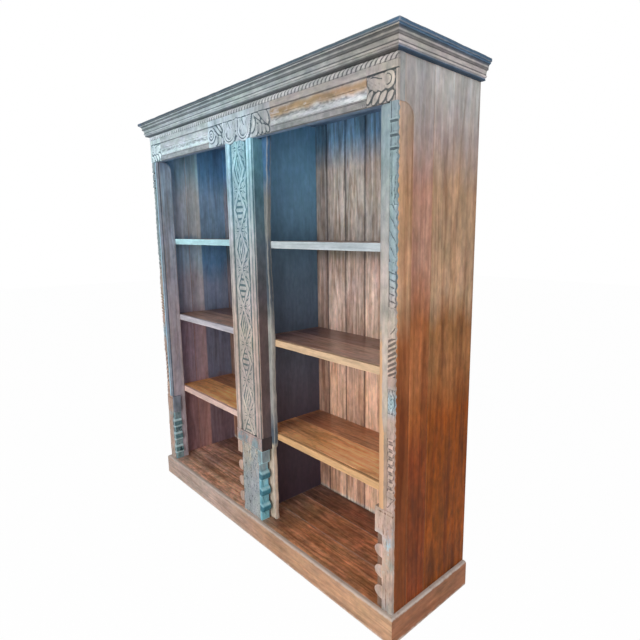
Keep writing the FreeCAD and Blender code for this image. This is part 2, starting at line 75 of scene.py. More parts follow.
# Planes that pieces share
CAD_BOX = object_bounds()
HEIGHT = CAD_BOX[1].z
HALF_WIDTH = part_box("header_board")[1].x
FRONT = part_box("post_block_right")[0].y
FACING_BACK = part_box("post_block_right")[1].y
HEADER_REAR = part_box("header_board")[1].y
SHELF_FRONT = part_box("shelf_lips_right")[0].y
BACK = CAD_BOX[1].y
FLOOR_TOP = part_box("post_block_right")[0].z
HEADER_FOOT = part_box("header_board")[0].z
CORNICE_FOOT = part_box("header_board")[1].z
SLAB_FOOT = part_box("top_slab")[0].z

# Section of the cornice: (share of its projection, share of its height) from the top down
CORNICE_EDGES = {"top_fillet": (0.84, 0.92), "upper_cove": (0.64, 0.67), "middle_fillet": (0.64, 0.59),
                 "lower_cove": (0.45, 0.31), "bead": (0.49, 0.17), "foot": (0.40, 0.0)}
CORNICE_INSET = 24 * MM

# Painted shade along the cornice: millimetres above its foot and how dark, for the shadow under its foot and
# in its coves
CORNICE_SHADE_LINES = ((3, 1.0), (5, 0.0), (14, 0.0), (15.5, 0.9), (18.5, 0.9), (21, 0.0), (29, 0.0), (31.5, 1.0),
                 (37.5, 1.0), (40, 0.1), (43, 0.1), (45, 0.9), (49, 0.9), (50.5, 0.0))

# Plinth: its rounded arris, how far below the top it is rubbed, and how high the dust lies
PLINTH_ROUND, PLINTH_RUB, PLINTH_RUB_FADE, PLINTH_DUST = 9 * MM, 7 * MM, 4 * MM, 14 * MM

# Old board behind the pilaster: half widths by height, spacing of its points, and its frayed edges
BACKING_REACH = ((0.10, 0.131), (0.30, 0.131), (0.46, 0.127), (0.54, 0.126), (0.97, 0.137),
                 (1.39, 0.125), (1.80, 0.148), (1.912, 0.150))
BACKING_STEP, BACKING_FRAY, BACKING_FRAY_CELL = 12 * MM, 2.5 * MM, 35 * MM

# Its narrower foot and the narrower right edge of its upper part: how much, from which height, over how far
BACKING_FOOT_IN, BACKING_FOOT_TOP, BACKING_FOOT_FADE = 15 * MM, 0.47, 0.02
BACKING_RIGHT_IN, BACKING_RIGHT_FOOT, BACKING_RIGHT_FADE = 10 * MM, 0.5, 0.3

# Scalloped strips: height of the first lobe, distance between lobes, their width, and the shoulder above
LOBES = 3
LOBE_FIRST, LOBE_PITCH, LOBE_CHORD, STRIP_SHOULDER = 64 * MM, 80 * MM, 48 * MM, 288 * MM
LOBE_NECKS = {"left": 0.0, "right": 13 * MM}
LOBE_STEP, LOBE_ROUND, FIN_ROUND = 6 * MM, 2 * MM, 1.2 * MM

# Fins of the post blocks: how far they are let in behind the edge, their height, and where they are widest
FIN_NECKS = {"left": 14 * MM, "right": 23 * MM}
FIN_HEIGHTS = {"left": 62 * MM, "right": 50 * MM}
FIN_SWELLS = {"left": 0.14, "right": 0.5}
# How dark the board behind the fins is painted, as shadow in the gaps between them
FIN_GAP_SHADE = {"left": 0.55, "right": 0.9}
SHOULDER_WEAR = 0.35

# Groove of the post blocks, in millimetres from their inner edge
BLOCK_GROOVE = 28

# Rails of the posts: share of their depth at the edges, and the bare wood of the right one
RAIL_EDGE = 0.35
BARE_WIDTH, BARE_MORE, BARE_WIDENS, BARE_ENDS = 23, 9, 0.84, 1.25

# Header, in millimetres up from its foot: foot of the fillet, its height, and the petals of the cartouche
HEADER_BAND, HEADER_FILLET = 88, 24
PETAL_MIDDLE, PETAL_RADIUS, PETAL_LEVEL = 55, 51.5, 43

# Hollows along the inside of the pilaster's rails, in millimetres, painted dark there as shadow, and dirt of
# the bead rails
RAIL_HOLLOWS = {"left": 1, "right": 13}
BEAD_DIRT = 0.42

# Leaf strokes of the carving in millimetres: start, end, width and bend
CARTOUCHE_LEAVES = (((-176, 84), (-130, 42), 17, 4), ((-190, 64), (-150, 36), 14, 3),
                    ((-152, 86), (-118, 54), 13, 3), ((-142, 2), (-138, 40), 34, 0),
                    ((-180, 2), (-162, 42), 20, 3), ((-118, 2), (-114, 28), 13, 0),
                    ((112, 16), (136, 68), 25, 4), ((130, 84), (178, 56), 21, -6),
                    ((166, 87), (234, 34), 40, -11), ((146, 3), (156, 46), 22, 0),
                    ((178, 2), (173, 47), 30, 0), ((207, 2), (197, 38), 26, 0), ((234, 4), (217, 30), 20, 0))
CORNER_LEAVES = (((112, 30), (90, 1), 22, 3), ((86, 33), (58, 1), 22, 3), ((58, 34), (28, 1), 22, 3),
                 ((30, 42), (4, 8), 20, 3))

# Boards: tones (0.5 is plain), where the two boards of a shelf meet, and how far plank joints are shifted
# The rear floor board is painted darker, as shade deeper in the bay
FLOOR_TONES = {"front": 0.62, "middle": 0.5, "rear": 0.1}
SIDE_TONES = {"front": 0.42, "rear": 0.6}
PLANK_TONES = (0.16, 0.6, 0.48, 0.7, 0.42, 0.55, 0.35)
# The front boards of the shelves are painted lighter than plain as painted light, the left ones most
SHELF_TONES = {"left": (1.3, 0.55), "right": (1.0, 0.34)}
SHELF_SEAM, SHELF_ROUND = 0.52, 0.8 * MM
PLANK_SHIFT, PLANK_CHIP = 35 * MM, 1 * MM

# Spacing of the points along outlines and along chipped edges, and the edge of the top slab
OUTLINE_STEP, EDGE_STEP = 0.05, 8 * MM
SLAB_ROUND, SLAB_CHIP = 2 * MM, 3 * MM

# What the lines of the grain, rubbed edges, and hollows dark with dirt and painted shade do to a colour
WOOD_DARK, WOOD_LIGHT, SHELF_DARK = (0.5, 0.38, 0.3), (1.36, 1.28, 1.16), (0.56, 0.35, 0.23)
PAINT_DARK, PAINT_LIGHT, PAINT_LIFT = (0.66, 0.66, 0.68), (1.2, 1.19, 1.17), (1.42, 1.4, 1.37)
GRIME, TEAL_GRIME = (0.34, 0.35, 0.37), (0.25, 0.4, 0.44)
DEEP_GRIME, BROWN_GRIME = (0.22, 0.27, 0.3), (0.4, 0.29, 0.22)
PAINTED = {"dark": PAINT_DARK, "light": PAINT_LIGHT, "lift": PAINT_LIFT, "figure": 0.1, "fibre": 0.4,
           "mottle": 0.55, "wear": 0.5, "dirt": 0.95}
LOBE_PAINTED = PAINTED | {"wear": 0.85, "dirt": 1.0, "lift": None}

# Painted shade that darkens the near inner faces by depth, and the floor and the shelves by width
NEAR_PAINTED_SHADE = ((0.2, (0.56, 0.63, 0.74)), (0.32, (0.7, 0.7, 0.74)), (0.48, (0.69, 0.65, 0.61)),
               (0.55, (0.95, 0.89, 0.8)))
FLOOR_PAINTED_SHADE = ((0.05, (0.8, 0.85, 0.95)), (0.2, WHITE), (0.46, WHITE), (0.51, (0.66, 0.82, 1.0)),
                (0.56, (0.7, 0.84, 1.0)), (0.68, WHITE))
SHELF_PAINTED_SHADE = ((0.04, (0.5, 0.42, 0.36)), (0.2, (0.85, 0.8, 0.76)), (0.4, (1.0, 0.98, 0.98)),
                (0.5, (1.0, 0.98, 0.98)), (0.53, (0.43, 0.4, 0.48)), (0.66, (0.8, 0.75, 0.72)),
                (0.8, (0.95, 0.93, 0.93)), (0.96, WHITE))

# Bands of colour up the bays and up the shelves' lips: name, and the shares of the height it lies between; in
# the bays the under band is painted shadow beneath the upper shelf and the head band painted blue shadow of
# the header
BAY_BANDS = (("foot", 0.1, 0.25), ("low", 0.275, 0.45), ("middle", 0.5, 0.57), ("under", 0.635, 0.688),
             ("high", 0.7, 0.82), ("head", 0.89))
LIP_BANDS = (("low", 0.22, 0.36), ("middle", 0.4, 0.56), ("high", 0.6))

# Share of the depth where the near inner faces of a bay end and the far ones begin
NEAR_END, FAR_START = 0.572, 0.592

# How often the grain repeats along each axis, and how patches of paint and fading spread along it
UPRIGHT = (17.0, 17.0, 1.1)
ACROSS = (1.1, 17.0, 17.0)
DEEP = (17.0, 1.1, 17.0)
SPREAD_ALONG, MOTTLE_SIZE = 0.45, 14.0
COAT_ROUGHNESS, BUMP_DEPTH = 0.25, 1.2 * MM

# Stage
FLOOR_REACH, FLOOR_GREY, FLOOR_ROUGHNESS, FLOOR_GLOW = 14.0, (0.9, 0.9, 0.9), 0.9, 0.985
SURROUND_LIGHT = (0.25, 0.26, 0.28)
KEY_PLACE, KEY_SIZE = (1.7, -4.1, 1.6), 3.4
FILL_PLACE, FILL_SIZE = (4.0, -0.8, 1.6), 2.6
LIGHT_AIM = (0.2, 0.0, 1.0)
CAMERA_PLACE, CAMERA_TURN = (1.9045, -1.3310, 1.4106), (1.4006, 0.0, 0.7953)
CAMERA_SENSOR, CAMERA_LENS, CAMERA_SHIFT = 36.0, 27.70, -0.0653


def linear(hex_colour):
    """A written colour as the linear values that shaders take."""
    shares = [int(hex_colour[i:i + 2], 16) / 255 for i in (1, 3, 5)]
    return tuple(s / 12.92 if s <= 0.04045 else ((s + 0.055) / 1.055) ** 2.4 for s in shares)


def colour(name, description, hex_colour):
    return FloatVectorProperty(name=name, description=description, subtype="COLOR", size=3,
                               min=0.0, max=1.0, default=linear(hex_colour))


def length(name, description, default):
    return FloatProperty(name=name, description=description, default=default, min=0.0,
                         unit="LENGTH", subtype="DISTANCE", precision=4)


def power(name, description, default):
    return FloatProperty(name=name, description=description, default=default, min=0.0, unit="POWER")


class BookcaseSizes(PropertyGroup):
    """Sizes of the wear and of the carving, and the power of the lights."""

    edge_round: length("Edge round", "How far the arrises of the boards are rubbed round", 2.4 * MM)
    joint_round: length("Joint round", "Bevel along the joints between boards", 1.8 * MM)
    chip_depth: length("Chip depth", "How deep the edges are chipped", 2.0 * MM)
    carve_cell: length("Carving cell", "Spacing of the points of a carved face", 1.9 * MM)
    rope_pitch: length("Rope pitch", "Length of one turn of the rope moulding", 21 * MM)
    reed_pitch: length("Reed pitch", "Spacing of the nicks in the bead rail", 9 * MM)
    lozenge_pitch: length("Lozenge pitch", "Height of one lozenge of the pilaster", 168 * MM)
    lozenge_foot: length("Lozenge foot", "Height of the lowest crossing of the pilaster", 593 * MM)
    lozenge_half: length("Lozenge half width", "Reach of the lozenges to either side", 41 * MM)
    key_power: power("Key light", "Power of the front light", 142.0)
    fill_power: power("Fill light", "Power of the light on the side", 40.0)


class BookcaseColours(PropertyGroup):
    """Colours of the wood and of what is left of the paint."""

    front_low: colour("Front board, low", "Dark red-brown wood", "#7f3f1d")
    front_ember: colour("Front board, embers", "Orange-red wood", "#a45c2d")
    front_russet: colour("Front board, russet", "Brownish red wood", "#a5663e")
    front_middle: colour("Front board, middle", "Mauve-brown wood", "#bb8f7b")
    rear_low: colour("Rear board, low", "Orange-brown wood", "#854517")
    rear_brown: colour("Rear board, brown", "Brown wood", "#966640")
    rear_khaki: colour("Rear board, khaki", "Faded khaki wood", "#b19074")
    # Towards the top the sides turn grey: these colours are painted sky reflection
    rear_head: colour("Rear board, head", "Pale grey wood, painted sky reflection", "#c9c8c6")
    side_grey: colour("Side, high", "Grey-brown wood, painted sky reflection", "#ad9e9a")
    side_head: colour("Side, head", "Grey wood, painted sky reflection", "#b8b6b6")
    side_arris: colour("Side arrises", "Fresh orange wood", "#b9855a")
    inner_near_foot: colour("Inside front, foot", "Pinkish brown wood", "#b49093")
    inner_near_low: colour("Inside front, low", "Mauve wood", "#b19dad")
    inner_near_middle: colour("Inside front, middle", "Lilac-grey wood", "#bdbdce")
    # Painted shadow under the upper shelf
    inner_near_under: colour("Inside front, shade", "Dirt under the upper shelf", "#adcce8")
    inner_near_high: colour("Inside front, high", "Pale blue-grey wood", "#d9e5f0")
    # Painted blue shadow of the header
    inner_near_head: colour("Inside front, head", "Painted blue shadow of the header", "#b4e2fa")
    inner_far_foot: colour("Inside rear, foot", "Dark mauve wood", "#7d6c76")
    inner_far_low: colour("Inside rear, low", "Slate-mauve wood", "#73778c")
    inner_far_middle: colour("Inside rear, middle", "Slate-blue wood", "#828fa9")
    # Painted shadow under the upper shelf
    inner_far_under: colour("Inside rear, shade", "Dirt under the upper shelf", "#638cb4")
    inner_far_high: colour("Inside rear, high", "Blue-grey wood", "#8aaac7")
    # Painted blue shadow of the header
    inner_far_head: colour("Inside rear, head", "Painted blue shadow of the header", "#6fa0c8")
    post_low: colour("Post side, low", "Dark wood", "#7d4322")
    post_middle: colour("Post side, middle", "Pale orange wood", "#c99e7c")
    post_high: colour("Post side, high", "Greyed wood", "#b19b8d")
    jamb_low: colour("Jamb, low", "Mauve-brown wood", "#d2bebb")
    jamb_high: colour("Jamb, high", "Grey-blue wood", "#c7d7df")
    # Painted shade under the header
    jamb_head: colour("Jamb, head", "Painted slate shade under the header", "#93a4b4")
    plinth_left: colour("Plinth, left", "Greyed wood", "#bda79b")
    plinth_middle: colour("Plinth, middle", "Orange wood", "#b99173")
    plinth_right: colour("Plinth, right", "Warm wood", "#c49d7c")
    plinth_side: colour("Plinth side", "Red-brown wood", "#9f6d50")
    floor_left: colour("Floor, left", "Dusty boards", "#e0b69c")
    floor_right: colour("Floor, right", "Reddish boards", "#cd916a")
    shelf_low: colour("Lower shelves", "Golden varnish", "#f0b482")
    shelf_middle: colour("Other shelves", "Brown varnish", "#ab8b80")
    lip_left_low: colour("Left lower lip", "Pinkish edge", "#efcdbf")
    lip_left_middle: colour("Left middle lip", "Lilac-grey edge", "#c7c2c8")
    lip_left_high: colour("Left upper lip", "Turquoise edge", "#bce7ed")
    lip_right_low: colour("Right lower lip", "Golden edge", "#deb07d")
    lip_right_middle: colour("Right middle lip", "Tan edge", "#d9b894")
    lip_right_high: colour("Right upper lip", "Pale blue edge", "#bac4c7")
    plank_left_foot: colour("Left planks, foot", "Red-brown wood", "#b48b78")
    plank_left_low: colour("Left planks, low", "Brown wood", "#927d74")
    plank_left_middle: colour("Left planks, middle", "Grey-mauve wood", "#7c7782")
    # Painted shadow under the upper shelf
    plank_left_under: colour("Left planks, shade", "Dirt under the upper shelf", "#576976")
    plank_left_high: colour("Left planks, high", "Grey wood", "#9095a3")
    # Painted blue shadow of the header
    plank_left_head: colour("Left plank heads", "Painted blue shadow of the header", "#659dce")
    plank_right_low: colour("Right planks, low", "Warm wood", "#dab39b")
    plank_right_middle: colour("Right planks, middle", "Paler wood", "#d7c2b8")
    # Painted shadow under the upper shelf
    plank_right_under: colour("Right planks, shade", "Dirt under the upper shelf", "#9f9890")
    plank_right_high: colour("Right planks, high", "Greyed wood", "#c4bbb4")
    # Painted blue shadow of the header
    plank_right_head: colour("Right plank heads", "Painted blue shadow of the header", "#81add0")
    divider_foot: colour("Divider, foot", "Dark paint", "#4a3f4c")
    divider_low: colour("Divider, low", "Mauve paint", "#585664")
    divider_middle: colour("Divider, middle", "Slate paint", "#5f7990")
    # Painted blue reflection and shade towards the top of the divider
    divider_high: colour("Divider, high", "Blue paint", "#80b5d7")
    rail_line: colour("Left rail, edge", "Pale remains of paint", "#acd3e6")
    rail_bare: colour("Left rail, face", "Bare slate wood", "#777e89")
    rail_tan: colour("Right rail, low", "Tan wood", "#a48b78")
    rail_gold: colour("Right rail, edge", "Golden bare wood", "#dba97c")
    carved_low: colour("Post carving, low", "Pinkish tan wood", "#b3a597")
    carved_middle: colour("Post carving, middle", "Grey remains of paint", "#afa49c")
    carved_high: colour("Post carving, high", "Blue-grey paint", "#8d9ea3")
    strip_low: colour("Carved strip, low", "Pinkish wood", "#b59c8f")
    strip_blue: colour("Carved strip, spot", "Faded blue paint", "#9aaab0")
    block_pink: colour("Post blocks", "Pinkish white paint", "#b3998a")
    pale_blue: colour("Post blocks, patches", "Bleached blue paint", "#a2bac4")
    fin_teal: colour("Left fins", "Dull teal paint", "#a9b6b6")
    dark_teal: colour("Left fins, patches", "Dirty teal paint", "#3f5a60")
    lobe_pale: colour("Lobe edges", "Pale blue paint", "#a4cdd4")
    rope_left: colour("Mouldings, left", "Bluish paint", "#c3d0d5")
    rope_middle: colour("Mouldings, middle", "Grey paint", "#afb6ba")
    rope_right: colour("Mouldings, right", "Brownish paint", "#9c9793")
    mint: colour("Header, left", "Pale mint paint", "#d4e9ed")
    frieze_low: colour("Right frieze", "Blue-white paint", "#cbcecf")
    ochre: colour("Right frieze, band", "Worn ochre band", "#9c8468")
    soffit: colour("Header underside", "Slate-blue paint", "#97b1d0")
    lilac: colour("Cartouche, middle", "Lilac white paint", "#b6c5ce")
    cartouche_grey: colour("Cartouche, right", "Grey paint", "#a8aaab")
    leaf_tan: colour("Carving, right end", "Tan paint", "#aba19a")
    panel_low: colour("Pilaster, low", "Pinkish grey paint", "#b0a49b")
    panel_middle: colour("Pilaster, middle", "Grey paint", "#a2a9ab")
    panel_high: colour("Pilaster, high", "Turquoise-grey paint", "#95bcc8")
    rail_low: colour("Pilaster rail, low", "Brownish paint", "#b5a096")
    rail_middle: colour("Pilaster rail, middle", "Grey paint", "#a9acae")
    rail_high: colour("Pilaster rail, high", "Pale turquoise paint", "#a2cad9")
    core_low: colour("Pilaster side, low", "Mauve-brown paint", "#6a5a59")
    core_middle: colour("Pilaster side, middle", "Slate paint", "#5e707c")
    core_high: colour("Pilaster side, high", "Deep turquoise paint", "#6593a6")
    base_cool: colour("Pilaster base, low", "Grey-white weathered paint", "#9aa0a1")
    base_warm: colour("Pilaster base, high", "Beige paint", "#b9ae9f")
    collar_grey: colour("Collar", "Pinkish grey paint", "#ab9590")
    slate: colour("Collar, patches", "Slate remains of paint", "#87969b")
    turquoise: colour("Right lobes", "Strong remains of turquoise", "#79b4c3")
    backing_low: colour("Backing, low", "Cream worn paint", "#c9b8a4")
    backing_dark: colour("Backing, slate", "Dark slate paint", "#566069")
    backing_grey: colour("Backing, grey", "Chipped grey paint", "#9c9b96")
    backing_beige: colour("Backing, upper", "Worn beige paint", "#7e807e")
    backing_high: colour("Backing, head", "Blue paint", "#4a7192")
    chipped: colour("Backing chips", "Pale chipped edges", "#a5a29a")
    cornice_left: colour("Cornice, left", "Bluish paint", "#afbdc0")
    cornice_right: colour("Cornice, right", "Brownish paint", "#938c87")
    cornice_side: colour("Cornice side", "Brown-grey paint", "#b9b2ae")
    slab_front: colour("Slab front", "Grey-blue paint", "#52636d")
    slab_blue: colour("Slab sides", "Slate-blue paint", "#506a82")
    wood_grey: colour("Hidden wood", "Unfinished wood", "#8a7260")
    dust: colour("Dust", "Pale rubbed edges", "#d3c8be")
    iron: colour("Nails", "Old iron", "#4a4038")


# Noise and outlines

HASH = np.array([127.1, 311.7, 74.7])
HASH_SEED, HASH_SCALE = 19.19, 43758.5453

# How far in from its corner a round of radius 1 lies half way
ROUND_DEPTH = 0.29

# Sizes of the long and the short bites out of a chipped edge
LONG_BITE, SHORT_BITE = 55 * MM, 13 * MM


def noise(points, seed):
    """Smooth random values from -1 to 1 at points that are given in cells."""
    base = np.floor(points)
    part = points - base
    part = part * part * (3 - 2 * part)
    ways = points.shape[1]
    total = np.zeros(len(points))
    for corner in itertools.product((0, 1), repeat=ways):
        code = (base + corner) @ HASH[:ways] + seed * HASH_SEED
        value = np.modf(np.abs(np.sin(code) * HASH_SCALE))[0]
        total += np.where(corner, part, 1 - part).prod(axis=1) * value
    return 2 * total - 1


def waver(across, up, cell_across, cell_up, seed):
    """Noise over a carved face, with cells of the given size."""
    points = np.stack([np.ravel(across) / cell_across, np.ravel(up) / cell_up], axis=1)
    return noise(points, seed).reshape(np.shape(across))


def divided(corners, step):
    """Points along a closed outline, no further apart than step."""
    corners = np.asarray(corners, float)
    runs = []
    for start, end in zip(corners, np.roll(corners, -1, axis=0)):
        count = max(1, math.ceil(np.linalg.norm(end - start) / step))
        runs.append(start + (end - start) * (np.arange(count)[:, None] / count))
    return np.concatenate(runs)


def softened(corners, radius):
    """A closed outline with its corners rounded."""
    corners = np.asarray(corners, float)
    points = []
    neighbours = np.roll(corners, 1, axis=0), np.roll(corners, -1, axis=0)
    for corner, before, after in zip(corners, *neighbours):
        back = (before - corner) / np.linalg.norm(before - corner)
        ahead = (after - corner) / np.linalg.norm(after - corner)
        middle = corner + (back + ahead) * radius * ROUND_DEPTH
        points += [corner + back * radius, middle, corner + ahead * radius]
    return np.array(points)


def anticlockwise(outline):
    """The same outline, turning left all round."""
    ahead = np.roll(outline, -1, axis=0)
    area = (outline[:, 0] * ahead[:, 1] - outline[:, 1] * ahead[:, 0]).sum()
    return outline if area > 0 else outline[::-1]


def inward(outline):
    """For each point of an anticlockwise outline: the step that moves its edges in by one, and its turn."""
    run = np.roll(outline, -1, axis=0) - outline
    run = run / np.maximum(np.linalg.norm(run, axis=1), 1e-9)[:, None]
    normal = np.stack([-run[:, 1], run[:, 0]], axis=1)
    before = np.roll(normal, 1, axis=0)
    dot = np.clip((normal * before).sum(axis=1), -0.6, 1)
    cross = before[:, 0] * normal[:, 1] - before[:, 1] * normal[:, 0]
    return (normal + before) / (1 + dot)[:, None], np.arctan2(cross, dot)


def chipped(outline, depth, seed):
    """An outline with small bites out of its edge."""
    outline = anticlockwise(outline)
    step, _ = inward(outline)
    long_bites = np.maximum(noise(outline / LONG_BITE, seed) - 0.25, 0)
    short_bites = np.maximum(noise(outline / SHORT_BITE, seed + 1) - 0.2, 0)
    return outline + step * (depth * (long_bites + 0.45 * short_bites))[:, None]


# Mesh patches

# Boards: the turn of a corner that is rubbed full, and the shares of the thickness that a round may take
FULL_TURN, ROUND_SHARE, CORE_SHARE = 0.6, 0.3, 0.42

# Carved faces: least thickness in millimetres, and how far around a point its hollow is judged
THINNEST, HOLLOW_REACH = 0.6, 4.5 * MM

# Millimetres of rise that are rubbed full and of hollow that are full of dirt and painted shade, and what
# ledges add to both as painted light: lighter where they face up, darker where they face down
FULL_RISE, FULL_HOLLOW, LEDGE_LIGHT_SHARE = 1.4, 1.2, 0.55

# Mouldings: how far from a bend its arris is rubbed, the bend that is rubbed full, and how they sway
BEND_REACH, FULL_BEND = 4 * MM, 0.9
MOULDING_SWAY, SWAY_CELLS = 0.4 * MM, np.array([0.05, 0.05, 0.02])

SMOOTH_ANGLE = math.radians(38)


class Patch:
    """Part of a mesh, with how worn and how dirty its points are, both carrying painted light and shade in
    places, and of what tone they are.
    """

    def __init__(self, points, faces, wear, crevice, tone=0.5):
        self.points = np.asarray(points, float)
        self.faces = faces
        self.wear = np.asarray(wear, float)
        self.crevice = np.asarray(crevice, float)
        self.tone = np.full(len(self.points), float(tone))


def ring_faces(rings, count):
    """Faces between rings of points, and the first and the last ring as lists."""
    ids = np.arange(rings * count).reshape(rings, count)
    ahead = np.roll(ids, -1, axis=1)
    faces = np.stack([ids[:-1], ahead[:-1], ahead[1:], ids[1:]], axis=-1).reshape(-1, 4).tolist()
    return faces, ids[0].tolist(), ids[-1].tolist()


def plate(outline, axis, low, high, soft, tone=0.5, core=None):
    """A board with rubbed arrises: an outline pushed along an axis, its faces drawn from the core outline."""
    outline = anticlockwise(np.asarray(outline, float))
    core = outline if core is None else core
    step, turn = inward(outline)
    core_step, _ = inward(core)
    corner = np.clip(np.abs(turn) / FULL_TURN, 0, 1)
    thick = high - low
    soft = min(soft, thick * ROUND_SHARE)
    inner = min(4 * soft, thick * CORE_SHARE)
    half = [(4 * soft, 0, 0), (soft, 0, 0.6), (ROUND_DEPTH * soft, ROUND_DEPTH * soft, 1), (0, soft, 0.6),
            (0, inner, 0)]
    rings = [(inset, low + deep, rub) for inset, deep, rub in half]
    rings += [(inset, high - deep, rub) for inset, deep, rub in reversed(half)]
    others = [way for way in range(3) if way != axis]
    count = len(outline)
    points = np.zeros((len(rings), count, 3))
    wear = np.zeros((len(rings), count))
    for index, (inset, place, rub) in enumerate(rings):
        line, way = (core, core_step) if inset > soft else (outline, step)
        least, most = line.min(axis=0) + inset, line.max(axis=0) - inset
        points[index][:, others] = np.clip(line + way * inset, least, most)
        points[index][:, axis] = place
        wear[index] = np.maximum(rub, corner if inset <= soft else 0)
    faces, first, last = ring_faces(len(rings), count)
    return Patch(points.reshape(-1, 3), faces + [first[::-1], last], wear.ravel(), np.zeros(wear.size), tone)


def board(low, high, soft, chip=0.0, seed=0, tone=0.5, step=0.03):
    """A worn plank that fills a box, made across its thinnest way."""
    low, high = np.array(low, float), np.array(high, float)
    axis = int(np.argmin(high - low))
    u, v = [way for way in range(3) if way != axis]
    corners = [(low[u], low[v]), (high[u], low[v]), (high[u], high[v]), (low[u], high[v])]
    outline = divided(softened(corners, soft), step)
    edge = chipped(outline, chip, seed) if chip else outline
    return plate(edge, axis, low[axis], high[axis], soft, tone, outline)


def blurred(field, cells):
    """A field evened out over a square of cells."""
    kernel = np.ones(2 * cells + 1) / (2 * cells + 1)
    for axis in (0, 1):
        pads = [(cells, cells) if way == axis else (0, 0) for way in (0, 1)]
        padded = np.pad(field, pads, mode="edge")
        field = np.apply_along_axis(np.convolve, axis, padded, kernel, "valid")
    return field


def relief(node, height, cell, sign=0, foot=None, draw_in=None, cut=None, dirt=None):
    """A carved face in the place of a node, raised from its back by height(across, up) in millimetres.

    Across counts outwards from the edge nearest the middle of the cabinet where the piece has a
    side, and from its own middle line where it has none. Up counts from the node's foot. The
    lower edge follows foot(across), the outer edge stands back by draw_in(up) and the inner one
    by cut(up). Raised forms are rubbed and dusty, and hollows dirty. Ledges that face up are painted
    light, and hollows and what lies under a ledge are painted dark as shade as well, more so by dirt(across,
    up).
    """
    low, high = (np.array(corner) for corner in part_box(node))
    size = high - low
    columns = max(4, round(size[0] / cell))
    rows = max(4, round(size[2] / cell))
    x, share = np.meshgrid(np.linspace(low[0], high[0], columns + 1),
                           np.linspace(0, 1, rows + 1), indexing="ij")
    start = {1: low[0], -1: high[0], 0: (low[0] + high[0]) / 2}[sign]
    across = (x - start) * (sign or 1) / MM
    lowest = foot(across[:, :1]) if foot else 0.0
    up = lowest + share * (size[2] / MM - lowest)
    raised = np.maximum(height(across, up), THINNEST)
    inner = cut(up) if cut else 0.0
    outer = draw_in(up) if draw_in else 0.0
    x = start + (sign or 1) * (inner + across * (1 - (inner + outer) * MM / size[0])) * MM
    face = np.stack([x, high[1] - raised * MM, low[2] + up * MM], axis=-1)
    reach = max(1, round(HOLLOW_REACH / cell))
    bump = raised - blurred(blurred(raised, reach), reach)
    # Painted light on the ledges: lighter where the face turns up, darker as shade where it turns down
    slope = np.gradient(raised, axis=1) / (size[2] / rows / MM)
    rubbed = np.clip(bump / FULL_RISE + LEDGE_LIGHT_SHARE * np.clip(-slope, 0, 1), 0, 1)
    dirty = np.clip(LEDGE_LIGHT_SHARE * np.clip(slope, 0, 1) - bump / FULL_HOLLOW, 0, 1)
    if dirt:
        dirty = np.maximum(dirty, dirt(across, up))
    ids = np.arange((columns + 1) * (rows + 1)).reshape(columns + 1, rows + 1)
    ring = np.concatenate([ids[:-1, 0], ids[-1, :-1], ids[:0:-1, -1], ids[0, :0:-1]])
    back = ids.size + np.arange(len(ring))
    rim = face.reshape(-1, 3)[ring]
    rim[:, 1] = high[1]
    grid = np.stack([ids[:-1, :-1], ids[1:, :-1], ids[1:, 1:], ids[:-1, 1:]], axis=-1).reshape(-1, 4)
    walls = np.stack([ring, back, np.roll(back, -1), np.roll(ring, -1)], axis=-1)
    faces = np.concatenate([grid, walls]).tolist() + [back[::-1].tolist()]
    hidden = np.zeros(len(ring))
    return Patch(np.concatenate([face.reshape(-1, 3), rim]), faces,
                 np.concatenate([rubbed.ravel(), hidden]), np.concatenate([dirty.ravel(), hidden]))


def sweep(section, start, end, step, seed):
    """A moulding that sways a little: a closed section carried from its start points to its end points."""
    run = np.linalg.norm(np.roll(section, -1, axis=0) - section, axis=1)
    _, turn = inward(section)
    place = np.concatenate([[0], np.cumsum(run)[:-1]])
    gap = np.abs(place[:, None] - place[None, :])
    gap = np.minimum(gap, run.sum() - gap)
    bend = (turn[None, :] * np.clip(1 - gap / BEND_REACH, 0, 1)).sum(axis=1)
    steps = max(2, math.ceil(np.abs(end - start).max() / step))
    shares = np.linspace(0, 1, steps + 1)[:, None, None]
    points = start + (end - start) * shares
    inner = np.clip(1 - np.abs(shares * 2 - 1), 0, 0.1) * 10
    shift = noise(points.reshape(-1, 3) / SWAY_CELLS, seed).reshape(points.shape[:2])
    points = points + MOULDING_SWAY * inner * shift[..., None]
    faces, first, last = ring_faces(steps + 1, len(section))
    wear = np.tile(np.clip(bend / FULL_BEND, 0, 1), steps + 1)
    crevice = np.tile(np.clip(-bend / FULL_BEND, 0, 1), steps + 1)
    return Patch(points.reshape(-1, 3), faces + [first, last[::-1]], wear, crevice)


def add_piece(patches, material, slot, *nodes, name=None):
    """One object of the patches, riding on the frame in the place of the nodes, and named like the first."""
    name = name or nodes[0].capitalize()
    mesh = bpy.data.meshes.new(name)
    points, faces, start = [], [], 0
    for patch in patches:
        points.append(patch.points)
        faces += [[start + index for index in face] for face in patch.faces]
        start += len(patch.points)
    mesh.from_pydata(np.concatenate(points).tolist(), [], faces)
    for key in ("wear", "crevice", "tone"):
        layer = mesh.attributes.new(key, "FLOAT", "POINT")
        layer.data.foreach_set("value", np.concatenate([getattr(patch, key) for patch in patches]))
    form = bmesh.new()
    form.from_mesh(mesh)
    bmesh.ops.dissolve_degenerate(form, dist=0.01 * MM, edges=form.edges)
    bmesh.ops.recalc_face_normals(form, faces=form.faces)
    form.to_mesh(mesh)
    form.free()
    mesh.polygons.foreach_set("use_smooth", [len(face.vertices) <= 4 for face in mesh.polygons])
    mesh.set_sharp_from_angle(angle=SMOOTH_ANGLE)
    mesh.materials.append(material)
    piece = bpy.data.objects.new(name, mesh)
    bpy.context.scene.collection.objects.link(piece)
    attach(piece, "root")
    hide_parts(*nodes)


